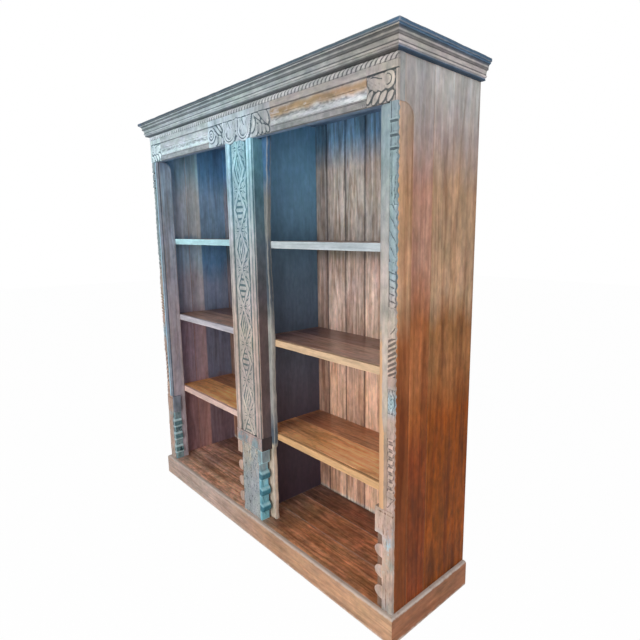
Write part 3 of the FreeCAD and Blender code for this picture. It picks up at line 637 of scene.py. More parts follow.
def add_carved(patches, paint, *nodes, name=None):
    """A piece of the carved and painted front."""
    add_piece(patches, paint, "carved_paint", *nodes, name=name)


def carve(node, paint, face, weather, cell, sign=0, name=None, **edges):
    """A carved face, weathered, as a piece of its own in the place of a node."""
    add_carved([relief(node, weathered(face, *weather), cell, sign, **edges)], paint, node, name=name)


def dress(material, *nodes):
    """Give the finish to CAD nodes that are shown as they are."""
    for node in nodes:
        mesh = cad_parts[node].data
        mesh.materials.clear()
        mesh.materials.append(material)


# Shader nodes

class Tree:
    """Short ways to add nodes to a material or to a node group."""

    def __init__(self, tree):
        self.tree = tree

    def put(self, socket, value):
        if isinstance(value, bpy.types.NodeSocket):
            self.tree.links.new(value, socket)
        elif socket.type == "RGBA":
            socket.default_value = (*tuple(value)[:3], 1.0)
        else:
            socket.default_value = value

    def add(self, kind, inputs=(), **settings):
        node = self.tree.nodes.new("ShaderNode" + kind)
        for key, value in settings.items():
            setattr(node, key, value)
        for key, value in dict(inputs).items():
            self.put(node.inputs[key], value)
        return node

    def math(self, operation, first, second=0.0):
        return self.add("Math", {0: first, 1: second}, operation=operation).outputs[0]

    def vector(self, operation, first, second):
        return self.add("VectorMath", {0: first, 1: second}, operation=operation).outputs[0]

    def mix(self, factor, first, second, blend="MIX"):
        node = self.add("Mix", {0: factor, 6: first, 7: second}, data_type="RGBA", blend_type=blend)
        return node.outputs[2]

    def times(self, factor, first, second):
        """The first colour, darkened or lightened by the second."""
        return self.mix(factor, first, second, "MULTIPLY")

    def band(self, value, low, high, top=1.0):
        """0 below low, top above high, smooth between."""
        node = self.add("MapRange", {"Value": value, "From Min": low, "From Max": high, "To Max": top},
                        interpolation_type="SMOOTHSTEP")
        return node.outputs[0]

    def noise(self, point, scale, detail, roughness, distortion=0.0):
        return self.add("TexNoise", {"Vector": point, "Scale": scale, "Detail": detail,
                                     "Roughness": roughness, "Distortion": distortion}).outputs[0]

    def attribute(self, name):
        return self.add("Attribute", attribute_name=name).outputs["Fac"]

    def ramp(self, value, stops):
        """A colour that changes with a value, through (place, colour) stops."""
        node = self.add("ValToRGB", {"Fac": value})
        elements = node.color_ramp.elements
        while len(elements) < len(stops):
            elements.new(1.0)
        for element, (place, shade) in zip(elements, stops):
            element.position = place
            element.color = (*tuple(shade)[:3], 1.0)
        return node.outputs["Color"]

    def group(self, name, inputs):
        return self.add("Group", inputs, node_tree=bpy.data.node_groups[name]).outputs

    def place(self):
        """Where a point lies in the cabinet, in metres."""
        return self.add("TexCoord").outputs["Object"]

    def blotches(self, point, scale, detail, roughness):
        """Noise about 0."""
        return self.math("SUBTRACT", self.noise(point, scale, detail, roughness), 0.5)


def node_group(name, inputs, outputs):
    """A new node group with its named sockets: its tree, what it is given and what it puts out."""
    group = bpy.data.node_groups.new(name, "ShaderNodeTree")
    for direction, sockets in (("INPUT", inputs), ("OUTPUT", outputs)):
        for label, kind in sockets.items():
            group.interface.new_socket(name=label, in_out=direction, socket_type="NodeSocket" + kind)
    given = group.nodes.new("NodeGroupInput").outputs
    result = group.nodes.new("NodeGroupOutput").inputs
    return Tree(group), given, result


def make_grain():
    """Figure, streaks, fibre and pores of a board, each board cut from another place of the tree."""
    parts = ("Figure", "Streaks", "Fibre", "Pores")
    tree, given, result = node_group(
        "Board grain", {"Stretch": "Vector", "Seed": "Float"}, dict.fromkeys(parts, "Float"))
    point = tree.vector("MULTIPLY", tree.place(), given["Stretch"])
    shift = tree.math("ADD", tree.math("MULTIPLY", tree.attribute("tone"), 37.0), given["Seed"])
    point = tree.vector("ADD", point, shift)
    rings = tree.noise(point, 0.75, 2.0, 0.45, 0.7)
    waves = tree.math("SINE", tree.math("MULTIPLY", rings, 40.0))
    tree.put(result["Figure"], tree.band(waves, -0.1, 0.95))
    tree.put(result["Streaks"], tree.noise(point, 1.5, 3.0, 0.5, 0.4))
    tree.put(result["Fibre"], tree.noise(point, 6.5, 6.0, 0.68))
    tree.put(result["Pores"], tree.band(tree.noise(point, 24.0, 2.0, 0.5), 0.6, 0.74))


def make_places():
    """A point's share of the height, width and depth, and whether it faces a bay, a side or the rear."""
    shares = ("Height", "Across", "Depth", "Inside", "Flank", "Rear")
    tree, given, result = node_group("Cabinet places", {"Drift": "Float"}, dict.fromkeys(shares, "Float"))
    point = tree.place()
    parts = tree.add("SeparateXYZ", {0: point}).outputs
    stretched = tree.vector("MULTIPLY", point, (11.0, 11.0, 1.6))
    drift = tree.math("MULTIPLY", tree.blotches(stretched, 1.0, 4.0, 0.6), given["Drift"])
    tree.put(result["Height"], tree.math("ADD", tree.math("DIVIDE", parts[2], HEIGHT), drift))
    share = tree.math("ADD", tree.math("DIVIDE", parts[0], 2 * HALF_WIDTH), 0.5)
    tree.put(result["Across"], tree.math("ADD", share, drift))
    tree.put(result["Depth"], tree.math("DIVIDE", tree.math("SUBTRACT", parts[1], FRONT), BACK - FRONT))
    normal = tree.add("SeparateXYZ", {0: tree.add("NewGeometry").outputs["True Normal"]}).outputs
    facing = tree.math("MULTIPLY", normal[0], tree.math("SIGN", parts[0]))
    tree.put(result["Inside"], tree.math("LESS_THAN", facing, -0.5))
    tree.put(result["Flank"], tree.math("GREATER_THAN", tree.math("ABSOLUTE", normal[0]), 0.9))
    tree.put(result["Rear"], tree.math("GREATER_THAN", normal[1], 0.5))


def make_old_paint():
    """What is left of a coat of paint: none on rubbed edges, patches elsewhere."""
    tree, given, result = node_group(
        "Old paint",
        {"Color": "Color", "Paint": "Color", "Cover": "Float", "Size": "Float", "Spread": "Vector"},
        {"Color": "Color", "Mask": "Float"})
    point = tree.vector("MULTIPLY", tree.place(), given["Spread"])
    patches = tree.noise(point, given["Size"], 6.0, 0.66)
    flakes = tree.noise(point, tree.math("MULTIPLY", given["Size"], 9.0), 3.0, 0.6)
    level = tree.math("ADD", tree.math("MULTIPLY", patches, 1.5), tree.math("MULTIPLY", flakes, 0.6))
    level = tree.math("SUBTRACT", level, 0.55)
    level = tree.math("SUBTRACT", level, tree.math("MULTIPLY", tree.attribute("wear"), 0.28))
    need = tree.math("SUBTRACT", 1.0, given["Cover"])
    mask = tree.band(tree.math("SUBTRACT", level, need), -0.07, 0.07)
    tree.put(result["Mask"], mask)
    tree.put(result["Color"], tree.mix(mask, given["Color"], given["Paint"]))


def make_edge_wear():
    """Arrises rubbed down to a paler ground, and the painted highlights that the wear attribute carries."""
    tree, given, result = node_group(
        "Edge wear", {"Color": "Color", "Bare": "Color", "Amount": "Float"}, {"Color": "Color"})
    rub = tree.math("MULTIPLY", tree.blotches(tree.place(), 38.0, 5.0, 0.65), 1.1)
    rub = tree.math("ADD", tree.attribute("wear"), rub)
    mask = tree.math("MULTIPLY", tree.band(rub, 0.25, 0.85), given["Amount"])
    tree.put(result["Color"], tree.mix(mask, given["Color"], given["Bare"]))


def make_grime_and_shade():
    """Dirt gathered in the hollows, and painted shade, darkening what they cover."""
    tree, given, result = node_group(
        "Hollow grime", {"Color": "Color", "Grime": "Color", "Amount": "Float"}, {"Color": "Color"})
    spread = tree.math("MULTIPLY", tree.blotches(tree.place(), 45.0, 4.0, 0.6), 0.5)
    depth = tree.math("ADD", tree.attribute("crevice"), spread)
    mask = tree.math("MULTIPLY", tree.band(depth, 0.12, 0.8), given["Amount"])
    tree.put(result["Color"], tree.times(mask, given["Color"], given["Grime"]))


def make_mottle():
    """Uneven fading: patches that are a little lighter, darker, warmer or cooler."""
    tree, given, result = node_group(
        "Mottle", {"Color": "Color", "Amount": "Float", "Size": "Float", "Spread": "Vector"},
        {"Color": "Color"})
    point = tree.vector("MULTIPLY", tree.place(), given["Spread"])
    shade = WHITE
    for times, detail in ((1.0, 2.0), (4.5, 3.0)):
        node = tree.add("TexNoise", {"Vector": point, "Scale": tree.math("MULTIPLY", given["Size"], times),
                                     "Detail": detail, "Roughness": 0.6})
        patch = tree.mix(0.14, node.outputs["Fac"], node.outputs["Color"])
        patch = tree.mix(given["Amount"], (0.5, 0.5, 0.5), patch)
        shade = tree.vector("MULTIPLY", tree.vector("MULTIPLY", patch, (2.0, 2.0, 2.0)), shade)
    tree.put(result["Color"], tree.vector("MULTIPLY", given["Color"], shade))


def make_board_tone():
    """Each board a little lighter or darker, and redder or yellower, than the next."""
    tree, given, result = node_group("Board tone", {"Color": "Color", "Amount": "Float"}, {"Color": "Color"})
    lean = tree.math("MULTIPLY", tree.math("SUBTRACT", tree.attribute("tone"), 0.5), given["Amount"])
    hue = tree.math("ADD", tree.math("MULTIPLY", lean, 0.025), 0.5)
    value = tree.math("ADD", tree.math("MULTIPLY", lean, 1.6), 1.0)
    node = tree.add("HueSaturation", {"Hue": hue, "Value": value, "Color": given["Color"]})
    tree.put(result["Color"], node.outputs["Color"])


def make_groups():
    for make in (make_grain, make_places, make_old_paint, make_edge_wear, make_grime_and_shade, make_mottle,
                 make_board_tone):
        make()


def stops(colours, bands):
    """Stops of a ramp from bands of (colour, place, ...): a colour holds between its own places."""
    return [(place, getattr(colours, name)) for name, *places in bands for place in places]


def named_bands(stem, bands):
    """Bands whose colours share the start of their names."""
    return [("%s_%s" % (stem, end), *places) for end, *places in bands]


def grained(tree, shade, grain, dark, light, figure, streaks, fibre):
    """A colour with the lines of the grain in it."""
    shade = tree.times(tree.band(grain["Streaks"], 0.5, 0.35, streaks), shade, dark)
    shade = tree.times(tree.band(grain["Streaks"], 0.52, 0.68, streaks), shade, light)
    shade = tree.times(tree.math("MULTIPLY", grain["Figure"], figure), shade, dark)
    shade = tree.times(tree.band(grain["Fibre"], 0.5, 0.7, fibre), shade, light)
    shade = tree.times(tree.band(grain["Fibre"], 0.5, 0.3, fibre), shade, dark)
    return tree.times(tree.math("MULTIPLY", grain["Pores"], fibre * 0.6), shade, dark)


def finish(name, colours, base, *, axis="Height", drift=0.05, inside=None, rear=None, flank=None, painted_shade=None,
           stretch=UPRIGHT, seed=0.0, fade=0.0, figure=0.3, streaks=0.0, fibre=0.5, dark=WOOD_DARK,
           light=WOOD_LIGHT, tone=0.3, paint=None, cover=0.0, paint_size=9.0, mottle=0.25, bare="dust",
           lift=None, wear=0.0, grime=GRIME, dirt=0.75, rough=(0.5, 0.8), spec=0.28, coat=0.0, bump=0.3):
    """A finish of wood, what is left of its paint, rubbed edges, and hollows dark with dirt and painted
    shade.

    Base and paint are bands along the height or the width of the cabinet, inside is two sets of
    bands for the near and the far part of the faces in a bay, the near ones darkened by depth
    with painted shade, rear and flank are the colours of the faces turned that way, and painted
    shade is given as stops that darken the width. The grain fades towards the head and in the
    bays. Rubbed edges take the bare colour, or with lift the colour beside them made lighter,
    and so do the painted highlights that the wear attribute carries.
    """
    material = bpy.data.materials.new(name)
    material.use_nodes = True
    tree = Tree(material.node_tree)
    shader = material.node_tree.nodes["Principled BSDF"]
    place = tree.group("Cabinet places", {"Drift": drift})
    grain = tree.group("Board grain", {"Stretch": stretch, "Seed": seed})
    shade = tree.ramp(place[axis], stops(colours, base))
    if inside:
        near, far = (tree.ramp(place["Height"], stops(colours, bands)) for bands in inside)
        # Painted shade on the near faces of a bay, darker by depth
        near = tree.times(1.0, near, tree.ramp(place["Depth"], NEAR_PAINTED_SHADE))
        within_bay = tree.mix(tree.band(place["Depth"], NEAR_END, FAR_START), near, far)
        shade = tree.mix(place["Inside"], shade, within_bay)
    if rear:
        shade = tree.mix(place["Rear"], shade, getattr(colours, rear))
    # Painted shade across the width
    if painted_shade:
        shade = tree.times(1.0, shade, tree.ramp(place["Across"], painted_shade))
    spread = [SPREAD_ALONG if way < 2 else 1.0 for way in stretch]
    if paint:
        layer = tree.ramp(place[axis], stops(colours, paint))
        coat_left = tree.group("Old paint", {
            "Color": shade, "Paint": layer, "Cover": cover, "Size": paint_size, "Spread": spread})
        shade = coat_left["Color"]
    if flank:
        shade = tree.mix(place["Flank"], shade, getattr(colours, flank))
    if fade:
        bleached = tree.math("MULTIPLY", tree.math("MAXIMUM", place["Height"], place["Inside"]), fade)
        mottle, streaks, figure = (tree.math("MULTIPLY", tree.math("SUBTRACT", 1.0, bleached), amount)
                                   for amount in (mottle, streaks, figure))
    shade = tree.group("Mottle", {
        "Color": shade, "Amount": mottle, "Size": MOTTLE_SIZE, "Spread": spread})["Color"]
    shade = grained(tree, shade, grain, dark, light, figure, streaks, fibre)
    shade = tree.group("Board tone", {"Color": shade, "Amount": tone})["Color"]
    rubbed = tree.times(1.0, shade, lift) if lift else getattr(colours, bare)
    shade = tree.group("Edge wear", {"Color": shade, "Bare": rubbed, "Amount": wear})["Color"]
    shade = tree.group("Hollow grime", {"Color": shade, "Grime": grime, "Amount": dirt})["Color"]
    tree.put(shader.inputs["Base Color"], shade)
    height = tree.math("SUBTRACT", grain["Fibre"], tree.math("MULTIPLY", grain["Pores"], 0.5))
    if paint:
        height = tree.math("ADD", height, coat_left["Mask"])
    gloss = tree.add("MapRange", {"Value": grain["Fibre"], "From Min": 0.3, "From Max": 0.7,
                                  "To Min": rough[0], "To Max": rough[1]})
    tree.put(shader.inputs["Roughness"], gloss.outputs[0])
    shader.inputs["Specular IOR Level"].default_value = spec
    shader.inputs["Coat Weight"].default_value = coat
    shader.inputs["Coat Roughness"].default_value = COAT_ROUGHNESS
    bumps = tree.add("Bump", {"Height": height, "Strength": bump, "Distance": BUMP_DEPTH})
    tree.put(shader.inputs["Normal"], bumps.outputs["Normal"])
    return material


# Carved faces: all measures in millimetres, those of the carved strip up from the ground

# Ground of the header's carving
CARVED_GROUND = 8.5


def bow(share):
    """A half round: 1 on its middle line, 0 at -1 and 1."""
    return np.sqrt(np.clip(1 - share ** 2, 0, 1))


def ridge(distance, width):
    """A half-round ridge of the given width along the line where distance is 0."""
    return bow(distance * 2 / width)


def within(reach, soft):
    """1 well inside a form, 0 outside it, by how far a point lies inside."""
    share = np.clip(reach / soft, 0, 1)
    return share * share * (3 - 2 * share)


def weathered(height, cell_across, cell_up, depth, seed):
    """A carved face, rubbed and pitted."""
    def worn(across, up):
        broad = waver(across, up, cell_across, cell_up, seed)
        fine = waver(across, up, cell_across / 3.5, cell_up / 3.5, seed + 1)
        return height(across, up) - depth * (0.5 + 0.5 * broad + 0.4 * fine)
    return worn


def blade(across, up, start, end, width, bend):
    """A leaf stroke along a bowed line: 1 on its spine, 0 at its edge and beyond."""
    (from_x, from_z), (to_x, to_z) = start, end
    run = math.hypot(to_x - from_x, to_z - from_z)
    along = ((across - from_x) * (to_x - from_x) + (up - from_z) * (to_z - from_z)) / run ** 2
    off = ((across - from_x) * (to_z - from_z) - (up - from_z) * (to_x - from_x)) / run
    half = width / 2 * np.sin(np.pi * np.clip(along, 0, 1)) ** 0.6 + 0.01
    return bow((off - 4 * bend * along * (1 - along)) / half) * ((along > 0) & (along < 1))


def rope_face(pitch, deep, tall):
    """A half round cut into slanting turns."""
    def height(across, up):
        turn = np.abs(np.sin(np.pi * (across - 0.9 * up) / pitch))
        return deep * (0.34 + bow((up - tall / 2) / (tall / 2)) * (0.26 + 0.38 * turn))
    return height


def frieze_face(deep, tall):
    """A fillet over a flat band and a hollow."""
    def height(across, up):
        fillet, band = tall - HEADER_FILLET, (tall - HEADER_FILLET) * 0.55
        share = np.clip((up - 3) / (band - 3), 0, 1)
        hollow = deep - 1.2 - 4 * 4 * share * (1 - share)
        flat = deep - 1.6 + 1.2 * bow((up - (band + fillet) / 2) / (fillet - band) * 2)
        rise = np.where(up > fillet, deep - 0.6, np.where(up > band, flat, hollow))
        rise = rise - 2.6 * ridge(up - fillet, 4) - 1.2 * ridge(up - band, 3) - 2 * ridge(up - 2, 4)
        return rise + 0 * across
    return height


def bead_face(deep, tall, reed):
    """A round rail under a thin fillet, nicked along its foot in places."""
    def height(across, up):
        body = deep * (0.5 + 0.5 * bow((up - tall * 0.42) / (tall * 0.5)))
        nick = np.clip(np.cos(2 * np.pi * across / reed), 0, 1) ** 2 * within(tall * 0.5 - up, 5)
        kept = within(waver(across, 0 * up, 90, 90, 50) + 0.2, 0.3)
        rise = np.where(up > tall - 4.5, deep * 0.8, body)
        return rise - 1.3 * nick * kept - 1.5 * ridge(up - (tall - 5.5), 3)
    return height


def under_fillet(rise, up, deep):
    """A carved face that stops below the header's fillet."""
    share = within(up - HEADER_BAND, 2.5)
    return rise * (1 - share) + (deep - 0.6) * share - 2.4 * ridge(up - HEADER_BAND, 4)


def cartouche_face(drop, flush):
    """Two bowed petals with a bud between them, a rosette and leaves to either side."""
    def height(across, up):
        up = up - drop
        rise = CARVED_GROUND + 0 * across
        for stroke in CARTOUCHE_LEAVES:
            rise = np.maximum(rise, CARVED_GROUND + 7 * blade(across, up, *stroke))
        ring = np.hypot(across + 216, up - 50)
        for radius, width in ((28, 12), (13, 10), (0, 9)):
            rise = np.maximum(rise, CARVED_GROUND + 5.5 * ridge(ring - radius, width))
        for middle in (-PETAL_MIDDLE, PETAL_MIDDLE):
            aside = np.abs(across - middle)
            spread = PETAL_RADIUS + 8 * np.clip((up - 45) / 40, 0, 1) ** 1.5
            rounded = PETAL_RADIUS - np.hypot(aside, up - PETAL_LEVEL)
            edge = np.where(up > PETAL_LEVEL, spread - aside, rounded)
            below = within(66 - up, 34)
            petal = 12 + (6 * ridge(edge - 5, 10) + 5 * ridge(edge - 16, 9)) * below
            petal = petal + 3 * ridge(edge - 3, 6) * (1 - below) - 2 * within(edge - 21, 8)
            notch = 24 * np.clip((up - 50) / 40, 0, 1)
            fold = 2.5 * ridge(aside - notch - 2, 6) - 3 * ridge(aside - notch + 2, 5)
            petal = petal + fold * within(up - 52, 8)
            rise = np.where(edge > 0, rise + (petal - rise) * within(edge, 2.5), rise)
        rise = np.maximum(rise, 9 + 8 * bow(across / 11) * within(up - 36, 6))
        rise = np.maximum(rise, 9 + 9 * bow(np.hypot(across, up - 31) / 9))
        return under_fillet(rise, up, flush)
    return height


def cartouche_foot(drop):
    """The lower edge: the petals hang below the header."""
    def foot(across):
        lowest = np.full_like(across, drop)
        for middle in (-PETAL_MIDDLE, PETAL_MIDDLE):
            aside = np.clip(np.abs(across - middle), 0, PETAL_RADIUS - 0.1)
            petal = drop + PETAL_LEVEL - np.sqrt(PETAL_RADIUS ** 2 - aside ** 2) + 0.3
            lowest = np.minimum(lowest, petal)
        return np.maximum(lowest, 0)
    return foot


def leaf_face(flush):
    """A curled fruit over leaf strokes, with a plain edge beside it."""
    def height(across, up):
        rise = CARVED_GROUND + 0 * across
        for stroke in CORNER_LEAVES:
            rise = np.maximum(rise, CARVED_GROUND + 5.5 * blade(across, up, *stroke))
        curl = np.hypot(across - 92, up - 63)
        fruit = np.maximum(bow(np.hypot((across - 56) / 48, (up - 60) / 27)), 1.15 * bow(curl / 27))
        fruit = np.maximum(fruit, 0.8 * bow(np.hypot(across - 18, up - 68) / 15))
        hatch = np.abs(np.sin((0.6 * across + up) / 3.4)) * within(fruit, 0.5) * within(72 - across, 14)
        rise = np.maximum(rise, CARVED_GROUND + 6.5 * fruit) - 0.9 * hatch
        rise = rise - 2 * ridge(curl - 15, 4) * within(across - 84, 6)
        vein = ridge(up - 74 - 6 * np.sin(across / 16), 4)
        rise = rise - 2.2 * vein * within(72 - across, 5) * within(across - 12, 5)
        edge = within(across - 121, 2)
        rise = rise * (1 - edge) + (flush - 1) * edge - 1.8 * ridge(across - 120, 3.5)
        return under_fillet(rise, up, flush)
    return height


def lozenge_face(deep, pitch, first, half, foot):
    """Two bands that cross and part, with lozenges and lanterns between them, worn away lower down."""
    def height(across, up):
        kept = 0.6 + 0.4 * np.clip((up + foot - 780) / 520, 0, 1)
        stage = (up - first) / pitch
        part = stage % 1
        odd = np.floor(stage) % 2
        swing = half * (0.2 * np.sin(np.pi * part) + 0.8 * (1 - np.abs(2 * part - 1)))
        aside = np.abs(across)
        off = aside - swing
        inner = swing - 15
        core = within(1 - aside / 8 - np.abs(part - 0.5) * pitch / 24, 0.4)
        gem = ridge(aside - inner * 0.7, 7) * within(inner, 5)
        bars = np.clip(0.6 + np.cos(np.pi * (part - 0.5) * 13), 0, 1) ** 0.6 * within(inner + 3 - aside, 3)
        share = np.where(odd > 0, 0.45 * bars, 0.42 * np.maximum(gem, core))
        for lift in (-0.105, 0.105):
            near = ((stage + 0.5) % 1 - 0.5 - lift) * pitch
            ring = np.hypot(aside - 31, near)
            share = np.maximum(share, 0.42 * np.maximum(ridge(ring - 9, 8), bow(ring / 4)))
        near = ((stage + 0.5) % 1 - 0.5) * pitch
        fan = np.abs(np.cos(6.5 * np.arctan2(near, aside + 6))) ** 0.8
        fan = fan * within(off - 7, 3) * within(54 - np.abs(near), 9)
        share = np.maximum(share, 0.42 * fan)
        band = 0.62 * ridge(off, 17) - 0.16 * ridge(off, 4) + 0.1 * ridge(np.abs(off) - 5, 4)
        share = np.where(np.abs(off) < 8.5, np.maximum(band, share * (np.abs(off) > 7)), share)
        beside = within(aside - np.where(across > 0, 49, 43), 5)
        return deep * ((0.42 + 0.1 * (1 - kept) + share * kept) * (1 - beside) + 0.12 * beside)
    return height


def rail_face(wide, deep, tall):
    """A half-round rail with a rounded upper end."""
    def height(across, up):
        body = deep * (RAIL_EDGE + (1 - RAIL_EDGE) * bow((across - wide / 2) / (wide / 2)))
        tip = np.clip((up - tall + wide * 0.45) / (wide * 0.45), 0, 1)
        return body * (0.25 + 0.75 * bow(tip))
    return height


def pilaster_rail_face(deep, wide, hollow):
    """A flat rail with a hollow along its inside and a bead beside that."""
    def height(across, up):
        bead = 1.4 * ridge(across - hollow - 11, 15) - 1.3 * ridge(across - hollow - 20, 4)
        body = deep * (0.12 + 0.83 * within(across - hollow, 3))
        return body + bead - 2 * within(across - wide + 3, 3) + 0 * up
    return height


def strip_face(deep, foot):
    """The carved strip: notched blocks, a lance leaf, a twist, beads, bars, a leaf and a ladder."""
    middle = 15.5

    def blocks(x, z):
        steps = sum(0.35 * ridge(z - level, 6) - 0.75 * ridge(z - level + 6, 7)
                    for level in (1750, 1709, 1671))
        return np.clip(0.6 + steps - 0.35 * ridge(x - 4, 5), 0, 1)

    def lance(x, z):
        half = 3 + 11 * np.clip((z - 1510) / 130, 0, 1)
        return 0.3 + 0.55 * np.clip(1 - np.abs(x - middle) / half, 0, 1)

    def twist(x, z):
        return 0.35 + 0.5 * np.abs(np.sin(np.pi * (z + 1.3 * x) / 46)) * bow((x - middle) / 16)

    def beads(x, z):
        return 0.08 + 0.87 * bow(((z - 1186 + 0.25 * x) % 22.5) / 11.25 - 1) * bow((x - middle) / 13)

    def plain(x, z):
        return 0.6 - 0.5 * ridge((x - 21) - (z - 1112) * 0.8, 5) * within(14 - np.abs(z - 1112), 6)

    def bars(x, z):
        return 0.1 + 0.8 * np.clip(0.3 + np.cos(2 * np.pi * (z - 0.5 * x - 969) / 16.4), 0, 1) ** 0.7

    def leaf(x, z):
        share = np.clip((z - 834) / 85, 0, 1)
        vein = np.abs(np.sin(np.pi * (z - np.abs(x - middle)) / 14))
        return np.where(np.abs(x - middle) < 13 * np.sin(np.pi * share) + 0.5, 0.6 + 0.3 * vein, 0.35)

    def ladder(x, z):
        rung = np.clip(0.3 + np.cos(2 * np.pi * (z - 560) / 26.7), 0, 1) ** 0.6
        return 0.15 + 0.7 * rung * within(np.minimum(x - 3, 28 - x), 4)

    def wedge(x, z):
        return np.where((x - 6) * 1.3 < (z - 500), 0.3, 0.65)

    zones = ((1661, 1801, blocks), (1501, 1661, lance), (1330, 1501, twist), (1186, 1300, beads),
             (1088, 1186, plain), (960, 1088, bars), (834, 919, leaf), (560, 748, ladder), (500, 540, wedge))

    def height(across, up):
        z = up + foot
        share = 0.55 + 0.1 * np.abs(np.sin(np.pi * z / 31)) + 0 * across
        for low, high, face in zones:
            share = np.where((z >= low) & (z < high), face(across, z), share)
        return deep * (0.5 + 0.5 * share)
    return height


def jagged_edge(up):
    """How far the outer arris of a carved strip is cut and worn back."""
    return 1.8 + 1.6 * np.sin(up / 4.4) + 1.5 * waver(up, up, 17, 17, 23)


def rubbed_edge(up):
    """How far the outer arris of a post block is worn back."""
    return 1.2 + 1.2 * waver(up, up, 26, 26, 25)


def fin_cut(side):
    """How far the inner edge of a post block stands back behind its fins."""
    def cut(up):
        return FIN_NECKS[side] / MM * within(STRIP_SHOULDER / MM - up, 2)
    return cut


def block_face(deep, groove):
    """A weathered block with a shallow groove that comes and goes."""
    def height(across, up):
        kept = within(waver(0 * across, up, 90, 90, 51) + 0.3, 0.6)
        return deep - 1.5 * ridge(across - groove, 5) * kept - 1.2 * ridge(up - 372, 7) + 0 * up
    return height


def collar_face(deep, half, tall):
    """A worn band, softer at its ends, with traces of a rim."""
    def height(across, up):
        edge = np.minimum(half - np.abs(across), np.minimum(up, tall - up))
        worn = 1.6 * waver(across, up, 40, 30, 52)
        return deep - 1.5 + worn - 1.1 * ridge(edge - 9, 5) - 3 * within(5 - edge, 5)
    return height


def base_face(deep):
    """A weathered, pitted block."""
    def height(across, up):
        return deep - 0.8 + 0.8 * waver(across, up, 11, 26, 31) + 0.8 * waver(across, up, 24, 30, 36)
    return height


# Pieces

def node_size(node):
    """Width, depth and height of a node in millimetres."""
    low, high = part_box(node)
    return [way / MM for way in high - low]


def mitred(section, side):
    """Start and end points of a moulding section along the front (0) or a side (-1, 1)."""
    out, level = section[:, 0], section[:, 1]
    reach = HALF_WIDTH + out
    ahead = FRONT - out
    if side == 0:
        return np.stack([-reach, ahead, level], axis=1), np.stack([reach, ahead, level], axis=1)
    rear = np.full_like(out, BACK)
    return np.stack([side * reach, rear, level], axis=1), np.stack([side * reach, ahead, level], axis=1)


def mitred_lengths(section, step, seed):
    """The front and side lengths of a moulding, by name."""
    for name, side in {"front": 0, **SIDES}.items():
        yield name, sweep(section, *mitred(section, side), step, seed + side)


def cornice_section():
    """The closed section of the cornice as (distance out from the frame, height)."""
    projection = CAD_BOX[1].x - HALF_WIDTH
    tall = SLAB_FOOT - CORNICE_FOOT

    def at(name):
        out, up = CORNICE_EDGES[name]
        return out * projection, CORNICE_FOOT + up * tall

    def cove(upper, lower):
        turns = np.linspace(0, math.pi / 2, 9)[1:]
        return [(lower[0] + (upper[0] - lower[0]) * (1 - math.sin(turn)),
                 upper[1] + (lower[1] - upper[1]) * (1 - math.cos(turn))) for turn in turns]

    top, upper, middle = at("top_fillet"), at("upper_cove"), at("middle_fillet")
    lower, bead, foot = at("lower_cove"), at("bead"), at("foot")
    points = [(-CORNICE_INSET, SLAB_FOOT), (top[0], SLAB_FOOT), top]
    points += cove((top[0] - 2 * MM, top[1]), upper) + [middle]
    points += cove((middle[0] - 2 * MM, middle[1]), lower)
    turns = np.linspace(0, math.pi, 7)[1:]
    points += [(lower[0] + (bead[0] - lower[0]) * 2.2 * math.sin(turn) - 1 * MM,
                (lower[1] + bead[1]) / 2 + (lower[1] - bead[1]) / 2 * math.cos(turn)) for turn in turns]
    points += [(foot[0] - 1 * MM, bead[1]), foot, (-CORNICE_INSET, foot[1])]
    return divided(anticlockwise(np.array(points)), 2.5 * MM)


def plinth_section():
    """The closed section of the plinth as (distance out from the frame, height)."""
    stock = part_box("plinth_right")[1].x - HALF_WIDTH
    turns = np.linspace(0, math.pi / 2, 7)
    points = [(0, 0), (stock, 0)]
    points += [(stock - PLINTH_ROUND * (1 - math.cos(turn)), FLOOR_TOP - PLINTH_ROUND * (1 - math.sin(turn)))
               for turn in turns]
    points += [(0, FLOOR_TOP)]
    return divided(anticlockwise(np.array(points)), 4 * MM)


def arch_points():
    """The quarter round where a post's head is let into the side board, as (y, z)."""
    radius = SHELF_FRONT - HEADER_REAR
    turns = np.linspace(0, math.pi / 2, 10)
    return [(HEADER_REAR + radius * math.cos(turn), HEADER_FOOT - radius + radius * math.sin(turn))
            for turn in turns]


def strip_outlines(side, face, way, tall, rise, lobes):
    """The shoulder and the lobes of a strip as (x, z), from distances out (1) or in (-1) from a face."""
    shoulder = [(0, STRIP_SHOULDER), (rise, STRIP_SHOULDER), (rise, tall), (0, tall)]
    return [np.array([(SIDES[side] * (face + way * out), FLOOR_TOP + up) for out, up in outline])
            for outline in (shoulder, *lobes)]


def spine(node, side, near, far, set_back, step):
    """The board behind the lobes of a strip, between two distances from the middle of the cabinet."""
    low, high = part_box(node)
    start, end = sorted((SIDES[side] * near, SIDES[side] * far))
    return board((start, low.y + set_back, low.z), (end, high.y, low.z + STRIP_SHOULDER), 1.5 * MM, step=step)


def scallops(side, face, tall, rise):
    """Round lobes below a straight shoulder: their outlines as (x, z)."""
    neck = LOBE_NECKS[side]
    bulge = rise - neck
    radius = (LOBE_CHORD ** 2 / 4 + bulge ** 2) / (2 * bulge)
    half = math.asin(min(1.0, LOBE_CHORD / 2 / radius))
    half = math.pi - half if bulge > LOBE_CHORD / 2 else half
    lobes = []
    for step in range(LOBES):
        middle = LOBE_FIRST + LOBE_PITCH * step
        lobes.append([(rise - radius + radius * math.cos(turn), middle + radius * math.sin(turn))
                      for turn in np.linspace(-half, half, 15)])
    return strip_outlines(side, face, 1, tall, rise, lobes)


